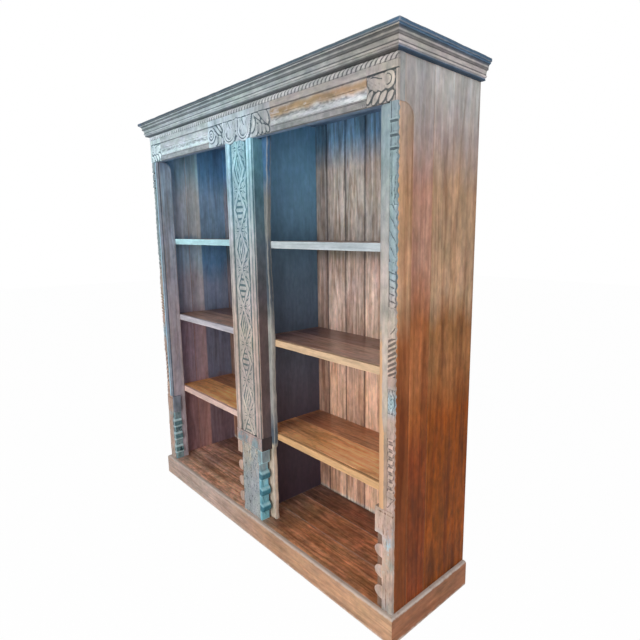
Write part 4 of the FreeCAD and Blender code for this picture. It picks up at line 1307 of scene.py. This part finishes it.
def lobe_highlights_and_shadows(points):
    """Painted highlights as pale bars and painted shadow as dark spots, taking turns up a lobed strip."""
    turn = 2 * math.pi * ((points[:, 2] - FLOOR_TOP - LOBE_FIRST) / LOBE_PITCH + 0.04)
    return np.clip(3.2 * np.abs(np.sin(turn)) - 2.5, 0, 1), np.clip(2.4 * np.cos(turn) - 0.9, 0, 1)


def fins(side, face, tall, rise):
    """Rounded fins below a straight shoulder, widest at a share of their height: their outlines as (x, z)."""
    neck, height, swell = -FIN_NECKS[side], FIN_HEIGHTS[side], FIN_SWELLS[side]
    lobes = []
    for step in range(LOBES):
        widest = LOBE_FIRST + LOBE_PITCH * step + height * (swell - 0.48)
        lobes.append([(neck + (rise - neck) * math.cos(turn),
                       widest + height * (swell if turn < 0 else 1 - swell) * math.sin(turn))
                      for turn in np.linspace(-math.pi / 2, math.pi / 2, 19)])
    return strip_outlines(side, face, -1, tall, rise, lobes)


class BookcaseOperator:
    """What the operators of the pieces share."""

    bl_options = {"REGISTER", "UNDO"}

    @staticmethod
    def settings(context):
        return context.scene.bookcase_sizes, context.scene.bookcase_colours


class BOOKCASE_OT_plinth(BookcaseOperator, Operator):
    """Rounded plinth boards, mitred at the front corners"""

    bl_idname = "bookcase.plinth"
    bl_label = "Plinth"

    def execute(self, context):
        _, colours = self.settings(context)
        front = finish(
            "Plinth_front_wood", colours,
            [("plinth_left", 0.0, 0.3), ("plinth_middle", 0.62, 0.86), ("plinth_right", 1.0)],
            axis="Across", stretch=ACROSS, figure=0.2, streaks=0.35, mottle=0.4, wear=0.7, seed=1.0)
        flank = finish(
            "Plinth_side_wood", colours, [("plinth_side", 0.0, 0.06)], stretch=DEEP, figure=0.2,
            streaks=0.4, mottle=0.5, wear=0.9, spec=0.15, seed=2.0)
        for name, patch in mitred_lengths(plinth_section(), 0.02, 5):
            level = np.maximum(patch.points[:, 2], 0.0)
            patch.points[:, 2] = level
            rubbed = np.clip((level - FLOOR_TOP + PLINTH_RUB) / PLINTH_RUB_FADE, 0, 0.8)
            dusty = np.clip(1 - level / PLINTH_DUST, 0, 0.5)
            patch.wear = np.maximum.reduce([patch.wear, rubbed, dusty])
            add_piece([patch], front if name == "front" else flank, "plinth_wood", "plinth_" + name)
        return {"FINISHED"}


class BOOKCASE_OT_floor(BookcaseOperator, Operator):
    """Boards of the bay floors"""

    bl_idname = "bookcase.floor"
    bl_label = "Floor boards"

    def execute(self, context):
        sizes, colours = self.settings(context)
        # The floor boards carry painted shade across their width
        wood = finish(
            "Floor_wood", colours, [("floor_left", 0.0, 0.42), ("floor_right", 0.6)], axis="Across",
            stretch=ACROSS, painted_shade=FLOOR_PAINTED_SHADE, figure=0.5, streaks=0.6, fibre=0.6, mottle=0.95, wear=0.3,
            tone=0.8, rough=(0.35, 0.6), coat=0.12, seed=3.0)
        for name, tone in FLOOR_TONES.items():
            node = "floor_board_" + name
            add_piece([board(*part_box(node), sizes.joint_round, tone=tone)], wood, "floor_wood", node)
        return {"FINISHED"}


class BOOKCASE_OT_sides(BookcaseOperator, Operator):
    """Front and rear boards of both sides"""

    bl_idname = "bookcase.sides"
    bl_label = "Side boards"

    def execute(self, context):
        sizes, colours = self.settings(context)
        # The grey colours towards the top of the sides are painted sky reflection
        outer = {"front": [("front_low", 0.0, 0.33), ("front_ember", 0.4), ("front_russet", 0.46, 0.57),
                           ("front_middle", 0.66, 0.78), ("side_grey", 0.87), ("side_head", 0.95)],
                 "rear": [("rear_low", 0.0, 0.38), ("rear_brown", 0.48, 0.545), ("rear_khaki", 0.6, 0.78),
                          ("side_grey", 0.87), ("rear_head", 0.95)]}
        inside = [named_bands("inner_" + part, BAY_BANDS) for part in ("near", "far")]
        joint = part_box("side_board_rear_right")[0].y
        outlines = {"front": [(SHELF_FRONT, FLOOR_TOP), (joint, FLOOR_TOP), (joint, CORNICE_FOOT),
                              (HEADER_REAR, CORNICE_FOOT)] + arch_points()[::-1],
                    "rear": [(joint, FLOOR_TOP), (BACK, FLOOR_TOP), (BACK, CORNICE_FOOT),
                             (joint, CORNICE_FOOT)]}
        for seed, place in ((4.0, "front"), (9.0, "rear")):
            wood = finish(
                "Side_wood_" + place, colours, outer[place], drift=0.1, inside=inside, fade=0.58,
                figure=0.55, streaks=0.7, fibre=0.3, mottle=0.8, bare="side_arris", wear=0.15, tone=0.2,
                rough=(0.45, 0.7), spec=0.12, seed=seed)
            for side in SIDES:
                node = "side_board_%s_%s" % (place, side)
                low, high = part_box(node)
                patch = plate(divided(outlines[place], OUTLINE_STEP), 0, low.x, high.x, sizes.joint_round,
                              SIDE_TONES[place])
                add_piece([patch], wood, "side_wood", node)
        return {"FINISHED"}


class BOOKCASE_OT_divider(BookcaseOperator, Operator):
    """Painted divider between the bays"""

    bl_idname = "bookcase.divider"
    bl_label = "Divider"

    def execute(self, context):
        sizes, colours = self.settings(context)
        # Towards the top the divider turns blue: painted reflection and shade
        paint = finish(
            "Divider_paint", colours,
            [("divider_foot", 0.08), ("divider_low", 0.3), ("divider_middle", 0.6), ("divider_high", 0.85)],
            figure=0.12, fibre=0.3, dark=PAINT_DARK, light=PAINT_LIGHT, mottle=0.3, wear=0.3,
            rough=(0.5, 0.7), seed=5.0)
        patch = board(*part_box("centre_divider"), sizes.joint_round)
        add_piece([patch], paint, "divider_paint", "centre_divider", name="Divider")
        return {"FINISHED"}


class BOOKCASE_OT_back(BookcaseOperator, Operator):
    """Lapped planks of the back, with their nails"""

    bl_idname = "bookcase.back"
    bl_label = "Back planks"

    def execute(self, context):
        sizes, colours = self.settings(context)
        # The under bands are painted shadow beneath the upper shelves, the head bands painted blue shadow of
        # the header
        bands = {"left": [("foot", 0.062, 0.25), ("low", 0.275, 0.45), ("middle", 0.51, 0.6),
                          ("under", 0.64, 0.688), ("high", 0.697, 0.82), ("head", 0.89)],
                 "right": [("low", 0.062, 0.35), ("middle", 0.6, 0.644), ("under", 0.664, 0.685),
                           ("high", 0.697, 0.855), ("head", 0.92)]}
        for side, sign in SIDES.items():
            heights = [("dust", 0.056)] + named_bands("plank_" + side, bands[side])
            wood = finish(
                "Back_wood_" + side, colours, heights, drift=0.02, figure=0.5, streaks=0.5, fibre=0.75,
                mottle=0.5, tone=0.45, wear=0.6, dirt=0.95, rear="wood_grey", seed=6.0)
            node = "back_planks_" + side
            low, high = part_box(node)
            inner, outer = sorted((abs(low.x), abs(high.x)))
            joints = np.linspace(inner, outer, len(PLANK_TONES) + 1)
            joints[1:-1] -= PLANK_SHIFT
            planks = []
            for step, tone in enumerate(PLANK_TONES):
                near, far = sorted((sign * joints[step], sign * joints[step + 1]))
                plank = board((near, low.y, low.z), (far, high.y, high.z), 1.7 * sizes.joint_round,
                              chip=PLANK_CHIP, seed=step, tone=tone)
                plank.wear, plank.crevice = plank.crevice, plank.wear
                planks.append(plank)
            add_piece(planks, wood, "back_wood", node)
        iron = finish("Nail_iron", colours, [("iron", 0.0, 1.0)], figure=0.1, fibre=0.4)
        dress(iron, "back_nails")
        return {"FINISHED"}


class BOOKCASE_OT_shelves(BookcaseOperator, Operator):
    """Varnished shelves of two boards each, with their painted front lips"""

    bl_idname = "bookcase.shelves"
    bl_label = "Shelves"

    def execute(self, context):
        sizes, colours = self.settings(context)
        # The shelves carry painted shade across their width
        wood = finish(
            "Shelf_wood", colours, [("shelf_low", 0.2, 0.34), ("shelf_middle", 0.42, 0.8)], drift=0.0,
            stretch=ACROSS, painted_shade=SHELF_PAINTED_SHADE, dark=SHELF_DARK, figure=0.45, streaks=0.35, fibre=0.38,
            mottle=0.5, tone=0.8, wear=0.2, rough=(0.25, 0.45), coat=0.3, seed=7.0, bump=0.2)
        for side, (front_tone, rear_tone) in SHELF_TONES.items():
            paint = finish(
                "Lip_paint_" + side, colours, named_bands("lip_" + side, LIP_BANDS), drift=0.0,
                stretch=ACROSS, rough=(0.45, 0.65), seed=8.0, streaks=0.4,
                **PAINTED | {"mottle": 0.22, "figure": 0.3, "fibre": 0.7})
            lip_low, lip_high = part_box("shelf_lips_" + side)
            lips = []
            for index, name in enumerate(SHELVES):
                node = "shelf_%s_%s" % (side, name)
                low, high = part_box(node)
                seam = low.y + (high.y - low.y) * SHELF_SEAM
                front = board(low, (high.x, seam, high.z), SHELF_ROUND, tone=front_tone)
                rear = board((low.x, seam, low.z), high, SHELF_ROUND, tone=rear_tone)
                add_piece([front, rear], wood, "shelf_wood", node)
                lips.append(board((lip_low.x, lip_low.y, low.z), (lip_high.x, lip_high.y, high.z),
                                  sizes.edge_round, sizes.chip_depth, seed=index + 3,
                                  tone=0.4 + 0.1 * index, step=EDGE_STEP))
            add_piece(lips, paint, "lip_paint", "shelf_lips_" + side)
        return {"FINISHED"}


class BOOKCASE_OT_posts(BookcaseOperator, Operator):
    """Corner posts with arched heads"""

    bl_idname = "bookcase.posts"
    bl_label = "Corner posts"

    def execute(self, context):
        sizes, colours = self.settings(context)
        # The jamb's head colour is painted shade under the header
        jamb = [("jamb_low", 0.1, 0.5), ("jamb_high", 0.82, 0.865), ("jamb_head", 0.9)]
        wood = finish(
            "Post_wood", colours,
            [("post_low", 0.0, 0.42), ("front_russet", 0.53), ("post_middle", 0.61, 0.78),
             ("post_high", 0.9)], drift=0.1, inside=[jamb, jamb], figure=0.25, streaks=0.5, fibre=0.35,
            mottle=0.4, wear=0.2, bare="side_arris", spec=0.12, seed=12.0)
        outline = [(FACING_BACK, FLOOR_TOP), (SHELF_FRONT, FLOOR_TOP), *arch_points(),
                   (FACING_BACK, HEADER_FOOT)]
        for side in SIDES:
            node = "corner_post_" + side
            low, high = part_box(node)
            patch = plate(divided(outline, OUTLINE_STEP), 0, low.x, high.x, sizes.joint_round)
            add_piece([patch], wood, "side_wood", node)
        return {"FINISHED"}


class BOOKCASE_OT_facings(BookcaseOperator, Operator):
    """Facings of the posts: rails, carved strips, blocks and finned strips"""

    bl_idname = "bookcase.facings"
    bl_label = "Post facings"

    def execute(self, context):
        sizes, colours = self.settings(context)
        bare_rail = finish(
            "Post_rail_bare", colours, [("rail_line", 0.0295), ("rail_bare", 0.031, 0.04)], axis="Across",
            drift=0.0, seed=13.5, **PAINTED)
        rail = finish(
            "Post_rail_paint", colours,
            [("rail_tan", 0.22, 0.36), ("carved_low", 0.41, 0.45), ("carved_middle", 0.62),
             ("carved_high", 0.85)], seed=13.0, bare="rail_gold", **PAINTED | {"lift": None, "wear": 0.85})
        strips = finish(
            "Carved_strip_paint", colours,
            [("strip_low", 0.26, 0.405), ("strip_blue", 0.425, 0.441), ("strip_low", 0.465),
             ("carved_low", 0.56), ("carved_middle", 0.6), ("carved_high", 0.64, 0.9)], drift=0.02,
            seed=14.0, **PAINTED)
        blocks = finish(
            "Post_block_paint", colours,
            [("carved_middle", 0.05), ("block_pink", 0.09, 0.175), ("carved_middle", 0.185, 0.195),
             ("block_pink", 0.205)],
            paint=[("carved_middle", 0.16), ("pale_blue", 0.18, 0.2), ("block_pink", 0.22)], cover=0.4,
            paint_size=20.0, grime=BROWN_GRIME, drift=0.06, seed=27.0, **PAINTED)
        teal = finish(
            "Fin_paint_left", colours, [("fin_teal", 0.05, 0.193), ("rail_bare", 0.197)],
            paint=[("dark_teal", 0.193), ("rail_bare", 0.197)], cover=0.36, paint_size=26.0,
            grime=TEAL_GRIME, bare="lobe_pale", drift=0.0, seed=28.0, **LOBE_PAINTED)
        cell = sizes.carve_cell
        for side, sign in SIDES.items():
            self.add_rail(side, cell * 1.4, bare_rail if side == "left" else rail)
            node = "carved_strip_" + side
            face = strip_face(node_size(node)[1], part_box(node)[0].z / MM)
            carve(node, strips, face, (8, 14, 1.1, 22), cell * 0.8, sign, draw_in=jagged_edge)
            node = "post_block_" + side
            face = block_face(node_size(node)[1], BLOCK_GROOVE)
            carve(node, blocks, face, (12, 40, 1.6, 24), cell * 1.4, sign, draw_in=rubbed_edge,
                  cut=fin_cut(side))
            self.add_fins(side, teal if side == "left" else blocks)
        return {"FINISHED"}

    @staticmethod
    def add_rail(side, cell, paint):
        node = "post_rail_" + side
        patch = relief(node, weathered(rail_face(*node_size(node)), 9, 60, 0.7, 21), cell, SIDES[side])
        if side == "right":
            level = patch.points[:, 2]
            inset = (np.abs(patch.points[:, 0]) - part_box(node)[0].x) / MM
            reach = BARE_WIDTH + BARE_MORE * within(BARE_WIDENS - level, 0.1)
            bare = within(reach - inset, 9) * within(BARE_ENDS - level, 0.3)
            patch.wear = np.maximum(0.3 * patch.wear, bare)
        add_carved([patch], paint, node)

    @staticmethod
    def add_fins(side, paint):
        node = "post_scallop_" + side
        low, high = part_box(node)
        inner = min(abs(corner.x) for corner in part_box("post_block_" + side))
        patches = [plate(divided(outline, LOBE_STEP), 1, low.y, high.y, FIN_ROUND)
                   for outline in fins(side, inner, high.z - low.z, high.x - low.x)]
        if side == "left":
            patches[0].wear *= SHOULDER_WEAR
            # Painted highlights and painted shadow taking turns up the fins
            for patch in patches[1:]:
                patch.wear, patch.crevice = lobe_highlights_and_shadows(patch.points)
        # The board behind the fins is painted dark as shadow between them
        behind = spine(node, side, inner - 2 * MM, inner + FIN_NECKS[side], 4 * MM, 20 * MM)
        behind.crevice = np.full(len(behind.points), FIN_GAP_SHADE[side])
        add_carved([*patches, behind], paint, node)


class BOOKCASE_OT_header(BookcaseOperator, Operator):
    """Rope moulding, hollow frieze and bead rails along the header"""

    bl_idname = "bookcase.header"
    bl_label = "Header mouldings"

    def execute(self, context):
        sizes, colours = self.settings(context)
        cell = sizes.carve_cell
        rope = finish(
            "Rope_paint", colours, [("rope_left", 0.0), ("rope_middle", 0.45), ("rope_right", 1.0)],
            axis="Across", stretch=ACROSS, seed=10.0, **PAINTED)
        face = rope_face(sizes.rope_pitch / MM, *node_size("rope_moulding")[1:])
        carve("rope_moulding", rope, face, (14, 14, 0.8, 26), cell)
        friezes = {"left": [("mint", 0.914, 0.923), ("rope_left", 0.93, 0.95)],
                   "right": [("frieze_low", 0.914, 0.922), ("leaf_tan", 0.93, 0.9415), ("rope_right", 0.945)]}
        worn = {"left": None,
                "right": [("frieze_low", 0.922), ("ochre", 0.9305, 0.9395), ("rope_right", 0.943)]}
        for side, sign in SIDES.items():
            paint = finish(
                "Frieze_paint_" + side, colours, friezes[side], drift=0.02, stretch=ACROSS,
                paint=worn[side], cover=0.7, paint_size=13.0, streaks=0.35, seed=15.0, **PAINTED)
            node = "frieze_panel_" + side
            face = frieze_face(*node_size(node)[1:])
            carve(node, paint, face, (40, 12, 0.9, 27), cell * 1.5, sign, name="Frieze_" + side)
            node = "bead_rail_" + side
            face = bead_face(*node_size(node)[1:], sizes.reed_pitch / MM)
            carve(node, rope, face, (30, 9, 0.7, 28), cell, sign,
                  dirt=lambda across, up: np.full(across.shape, BEAD_DIRT))
        boards = finish(
            "Header_board_paint", colours,
            [("side_head", 0.0), ("soffit", 0.004, 0.996), ("side_head", 1.0)], axis="Across", drift=0.0,
            seed=29.0, **PAINTED)
        dress(boards, "header_board")
        return {"FINISHED"}


class BOOKCASE_OT_carving(BookcaseOperator, Operator):
    """Carved cartouche over the pilaster and the leaves at the corners"""

    bl_idname = "bookcase.carving"
    bl_label = "Carved blocks"

    def execute(self, context):
        sizes, colours = self.settings(context)
        paint = finish(
            "Cartouche_paint", colours,
            [("mint", 0.0, 0.36), ("lilac", 0.4, 0.53), ("cartouche_grey", 0.62), ("leaf_tan", 1.0)],
            axis="Across", seed=16.0, grime=DEEP_GRIME, **PAINTED | {"dirt": 1.0})
        drop = (HEADER_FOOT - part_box("cartouche")[0].z) / MM
        flush = node_size("frieze_panel_right")[1]
        carve("cartouche", paint, cartouche_face(drop, flush), (12, 12, 0.7, 29), sizes.carve_cell,
              foot=cartouche_foot(drop))
        face = leaf_face(flush)
        for side, sign in SIDES.items():
            carve("corner_leaf_" + side, paint, face, (11, 11, 0.7, 30), sizes.carve_cell * 0.9, sign)
        return {"FINISHED"}


class BOOKCASE_OT_pilaster(BookcaseOperator, Operator):
    """Carved pilaster with its rails and core"""

    bl_idname = "bookcase.pilaster"
    bl_label = "Pilaster"

    def execute(self, context):
        sizes, colours = self.settings(context)
        cell = sizes.carve_cell
        panel = finish(
            "Pilaster_panel_paint", colours,
            [("panel_low", 0.25, 0.5), ("panel_middle", 0.65), ("panel_high", 0.85)], seed=17.0,
            grime=TEAL_GRIME, **PAINTED)
        rail = finish(
            "Pilaster_rail_paint", colours,
            [("rail_low", 0.25, 0.5), ("rail_middle", 0.68), ("rail_high", 0.85)], seed=18.0,
            grime=TEAL_GRIME, **PAINTED)
        core = finish(
            "Pilaster_core_paint", colours,
            [("core_low", 0.25, 0.52), ("core_middle", 0.7), ("core_high", 0.85)], seed=19.0, **PAINTED)
        dress(core, "pilaster_core")
        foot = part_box("pilaster_panel")[0].z
        deep = node_size("pilaster_panel")[1] + 2
        face = lozenge_face(deep, sizes.lozenge_pitch / MM, (sizes.lozenge_foot - foot) / MM,
                            sizes.lozenge_half / MM, foot / MM)
        carve("pilaster_panel", panel, face, (12, 16, 0.9, 32), cell * 0.85)
        for side, hollow in RAIL_HOLLOWS.items():
            node = "pilaster_rail_" + side
            wide, deep, _ = node_size(node)
            face = pilaster_rail_face(deep, wide, hollow)
            # Painted shadow in the hollow along the inside of the rail
            carve(node, rail, face, (10, 70, 0.8, 33), cell * 1.4, SIDES[side],
                  dirt=lambda across, up: within(hollow + 3 - across, 3))
        return {"FINISHED"}


class BOOKCASE_OT_pilaster_foot(BookcaseOperator, Operator):
    """Collar, base and scalloped strips below the pilaster, and the old board behind it"""

    bl_idname = "bookcase.pilaster_foot"
    bl_label = "Pilaster foot and backing"

    def execute(self, context):
        sizes, colours = self.settings(context)
        self.add_foot(sizes, colours)
        pink = finish("Base_scallop_paint_left", colours, [("block_pink", 0.06, 0.3)], seed=22.0, **PAINTED)
        self.add_lobes("left", pink)
        teal = finish(
            "Base_scallop_paint_right", colours, [("turquoise", 0.06, 0.16), ("slate", 0.2)], drift=0.2,
            seed=22.0, grime=TEAL_GRIME, bare="lobe_pale", **LOBE_PAINTED)
        self.add_lobes("right", teal)
        self.add_backing(sizes, colours)
        return {"FINISHED"}

    @staticmethod
    def add_foot(sizes, colours):
        paint = finish(
            "Pilaster_foot_paint", colours,
            [("base_cool", 0.055, 0.14), ("base_warm", 0.2, 0.222), ("collar_grey", 0.235)],
            paint=[("base_cool", 0.22), ("slate", 0.23)], cover=0.5, paint_size=16.0, flank="core_low",
            drift=0.03, seed=21.0, **PAINTED)
        wide, deep, tall = node_size("pilaster_collar")
        face = weathered(collar_face(deep, wide / 2, tall), 16, 12, 1.0, 34)
        collar = relief("pilaster_collar", face, sizes.carve_cell * 1.2)
        # Painted shade: the collar is darker the further back its face lies
        behind = collar.points[:, 1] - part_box("pilaster_collar")[0].y
        collar.crevice = np.maximum(collar.crevice, np.clip(behind / MM / deep * 1.2 - 0.1, 0, 1))
        face = weathered(base_face(node_size("pilaster_base")[1]), 15, 19, 2.2, 35)
        base = relief("pilaster_base", face, sizes.carve_cell * 1.4)
        add_carved([collar, base], paint, "pilaster_collar", "pilaster_base", name="Pilaster_foot")

    @staticmethod
    def add_lobes(side, paint):
        node = "base_scallop_" + side
        low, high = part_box(node)
        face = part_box("pilaster_base")[1].x
        patches = [plate(divided(outline, LOBE_STEP), 1, low.y, high.y, LOBE_ROUND)
                   for outline in scallops(side, face, high.z - low.z, high.x - low.x)]
        neck = LOBE_NECKS[side]
        if neck:
            patches.append(spine(node, side, face, face + neck, 2 * MM, EDGE_STEP))
            # Painted highlights and painted shadow taking turns up the lobes
            for patch in patches[1:]:
                patch.wear, patch.crevice = lobe_highlights_and_shadows(patch.points)
        add_carved(patches, paint, node)

    @staticmethod
    def add_backing(sizes, colours):
        paint = finish(
            "Backing_paint", colours,
            [("backing_low", 0.06, 0.235), ("backing_dark", 0.24, 0.27), ("backing_grey", 0.32, 0.5),
             ("backing_dark", 0.56, 0.69), ("backing_beige", 0.71, 0.78), ("backing_high", 0.83)],
            drift=0.04, seed=20.0, dark=PAINT_DARK, light=PAINT_LIGHT, figure=0.15, mottle=0.5, wear=0.6,
            bare="chipped")
        low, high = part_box("backing_board")
        levels = np.arange(low.z, high.z, BACKING_STEP)
        reach = np.interp(levels, *zip(*BACKING_REACH))
        foot = BACKING_FOOT_IN * np.clip((BACKING_FOOT_TOP - levels) / BACKING_FOOT_FADE, 0, 1)
        right, left = (reach + BACKING_FRAY * noise(levels[:, None] / BACKING_FRAY_CELL, seed) - foot
                       for seed in (41, 42))
        right = right - BACKING_RIGHT_IN * np.clip((levels - BACKING_RIGHT_FOOT) / BACKING_RIGHT_FADE, 0, 1)
        outline = [*zip(right, levels), (right[-1], high.z), (-left[-1], high.z),
                   *zip(-left[::-1], levels[::-1])]
        patch = plate(outline, 1, low.y, high.y, sizes.edge_round)
        add_carved([patch], paint, "backing_board")


class BOOKCASE_OT_cornice(BookcaseOperator, Operator):
    """Coved cornice with its chipped top slab"""

    bl_idname = "bookcase.cornice"
    bl_label = "Cornice"

    def execute(self, context):
        _, colours = self.settings(context)
        front = finish(
            "Cornice_front_paint", colours, [("cornice_left", 0.0, 0.45), ("cornice_right", 1.0)],
            axis="Across", stretch=ACROSS, seed=23.0, **PAINTED)
        # The slate-blue band at the foot of the cornice's side is painted shadow
        flank = finish(
            "Cornice_side_paint", colours,
            [("slab_blue", 0.967, 0.9713), ("cornice_side", 0.9723, 0.9882), ("slab_blue", 0.9895)],
            drift=0.0, stretch=DEEP, seed=24.0, **PAINTED)
        slab = finish(
            "Slab_paint", colours, [("slab_blue", 0.0), ("slab_front", 0.004, 0.996), ("slab_blue", 1.0)],
            axis="Across", drift=0.0, stretch=ACROSS, seed=25.0, spec=0.15, dark=PAINT_DARK,
            light=PAINT_LIGHT, mottle=0.4, wear=0.3, bare="cornice_side")
        for name, patch in mitred_lengths(cornice_section(), 0.015, 43):
            # Painted shade: dark lines under the foot and in the coves of the cornice
            patch.crevice = np.interp((patch.points[:, 2] - CORNICE_FOOT) / MM, *zip(*CORNICE_SHADE_LINES))
            add_piece([patch], front if name == "front" else flank, "cornice_paint", "cornice_" + name)
        patch = board(*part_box("top_slab"), SLAB_ROUND, SLAB_CHIP, 45, step=EDGE_STEP)
        add_piece([patch], slab, "cornice_paint", "top_slab")
        return {"FINISHED"}


class BOOKCASE_OT_hidden_frame(BookcaseOperator, Operator):
    """Plain wood on the boards that carry the rest"""

    bl_idname = "bookcase.hidden_frame"
    bl_label = "Hidden frame"

    def execute(self, context):
        _, colours = self.settings(context)
        wood = finish(
            "Hidden_wood", colours, [("wood_grey", 0.0, 1.0)], stretch=ACROSS, fibre=0.6, rough=(0.6, 0.85),
            seed=26.0)
        dress(wood, "plinth_back", "floor_bearers", "cornice_back", "cornice_blocks")
        paint = finish(
            "Top_panel_paint", colours, [("soffit", 0.0, 1.0)], stretch=ACROSS, seed=30.0, **PAINTED)
        dress(paint, "top_panel")
        return {"FINISHED"}


class BOOKCASE_OT_stage(BookcaseOperator, Operator):
    """Pale floor, soft lights, white surround and the camera"""

    bl_idname = "bookcase.stage"
    bl_label = "Stage"

    def execute(self, context):
        sizes, _ = self.settings(context)
        scene = context.scene
        scene.view_settings.view_transform = "Standard"
        self.add_floor(scene)
        self.add_world(scene)
        self.add_light(scene, "Key_light", KEY_PLACE, KEY_SIZE, sizes.key_power)
        self.add_light(scene, "Fill_light", FILL_PLACE, FILL_SIZE, sizes.fill_power)
        camera = bpy.data.cameras.new("Camera")
        camera.sensor_width = CAMERA_SENSOR
        camera.lens = CAMERA_LENS
        camera.shift_x = CAMERA_SHIFT
        holder = bpy.data.objects.new("Camera", camera)
        holder.location = CAMERA_PLACE
        holder.rotation_euler = CAMERA_TURN
        scene.collection.objects.link(holder)
        scene.camera = holder
        return {"FINISHED"}

    @staticmethod
    def seen_directly(tree):
        """1 for rays that show the surround itself: camera, mirror and glass rays."""
        paths = tree.add("LightPath").outputs
        seen = tree.math("MAXIMUM", paths["Is Camera Ray"], paths["Is Glossy Ray"])
        return tree.math("MAXIMUM", seen, paths["Is Transmission Ray"])

    def add_floor(self, scene):
        mesh = bpy.data.meshes.new("Floor")
        corners = [(x * FLOOR_REACH, y * FLOOR_REACH, 0) for x, y in ((-1, -1), (1, -1), (1, 1), (-1, 1))]
        mesh.from_pydata(corners, [], [(0, 1, 2, 3)])
        material = bpy.data.materials.new("Floor_white")
        material.use_nodes = True
        tree = Tree(material.node_tree)
        shader = material.node_tree.nodes["Principled BSDF"]
        tree.put(shader.inputs["Base Color"], FLOOR_GREY)
        shader.inputs["Roughness"].default_value = FLOOR_ROUGHNESS
        glow = tree.add("Emission", {"Color": WHITE})
        share = tree.math("MULTIPLY", self.seen_directly(tree), FLOOR_GLOW)
        blend = tree.add("MixShader", {0: share, 1: shader.outputs[0], 2: glow.outputs[0]})
        output = material.node_tree.nodes["Material Output"]
        tree.put(output.inputs["Surface"], blend.outputs[0])
        mesh.materials.append(material)
        floor = bpy.data.objects.new("Floor", mesh)
        scene.collection.objects.link(floor)

    def add_world(self, scene):
        world = bpy.data.worlds.new("Studio")
        world.use_nodes = True
        tree = Tree(world.node_tree)
        background = world.node_tree.nodes["Background"]
        tree.put(background.inputs["Color"], tree.mix(self.seen_directly(tree), SURROUND_LIGHT, WHITE))
        scene.world = world

    @staticmethod
    def add_light(scene, name, place, size, watts):
        lamp = bpy.data.lights.new(name, "AREA")
        lamp.size = size
        lamp.energy = watts
        holder = bpy.data.objects.new(name, lamp)
        holder.location = place
        x, y, z = np.subtract(LIGHT_AIM, place)
        holder.rotation_euler = (math.acos(-z / math.hypot(x, y, z)), 0.0, math.atan2(-x, y))
        scene.collection.objects.link(holder)


class BOOKCASE_PT_pieces(Panel):
    """Pieces of the bookcase, with their sizes and colours"""

    bl_idname = "BOOKCASE_PT_pieces"
    bl_label = "Bookcase"
    bl_space_type = "VIEW_3D"
    bl_region_type = "UI"
    bl_category = "Bookcase"

    def draw(self, context):
        layout = self.layout
        for operator in OPERATORS:
            layout.operator(operator.bl_idname)
        for group in (context.scene.bookcase_sizes, context.scene.bookcase_colours):
            column = layout.column(align=True)
            for key in group.__annotations__:
                column.prop(group, key)


OPERATORS = (BOOKCASE_OT_plinth, BOOKCASE_OT_floor, BOOKCASE_OT_sides, BOOKCASE_OT_divider, BOOKCASE_OT_back,
             BOOKCASE_OT_shelves, BOOKCASE_OT_posts, BOOKCASE_OT_facings, BOOKCASE_OT_header,
             BOOKCASE_OT_carving, BOOKCASE_OT_pilaster, BOOKCASE_OT_pilaster_foot, BOOKCASE_OT_cornice,
             BOOKCASE_OT_hidden_frame, BOOKCASE_OT_stage)
CLASSES = (BookcaseSizes, BookcaseColours, *OPERATORS, BOOKCASE_PT_pieces)


def register():
    for cls in CLASSES:
        bpy.utils.register_class(cls)
    bpy.types.Scene.bookcase_sizes = PointerProperty(type=BookcaseSizes)
    bpy.types.Scene.bookcase_colours = PointerProperty(type=BookcaseColours)


def unregister():
    del bpy.types.Scene.bookcase_colours
    del bpy.types.Scene.bookcase_sizes
    for cls in reversed(CLASSES):
        bpy.utils.unregister_class(cls)


def main():
    register()
    make_groups()
    for operator in OPERATORS:
        group, name = operator.bl_idname.split(".")
        getattr(getattr(bpy.ops, group), name)()


if __name__ == "__main__":
    main()
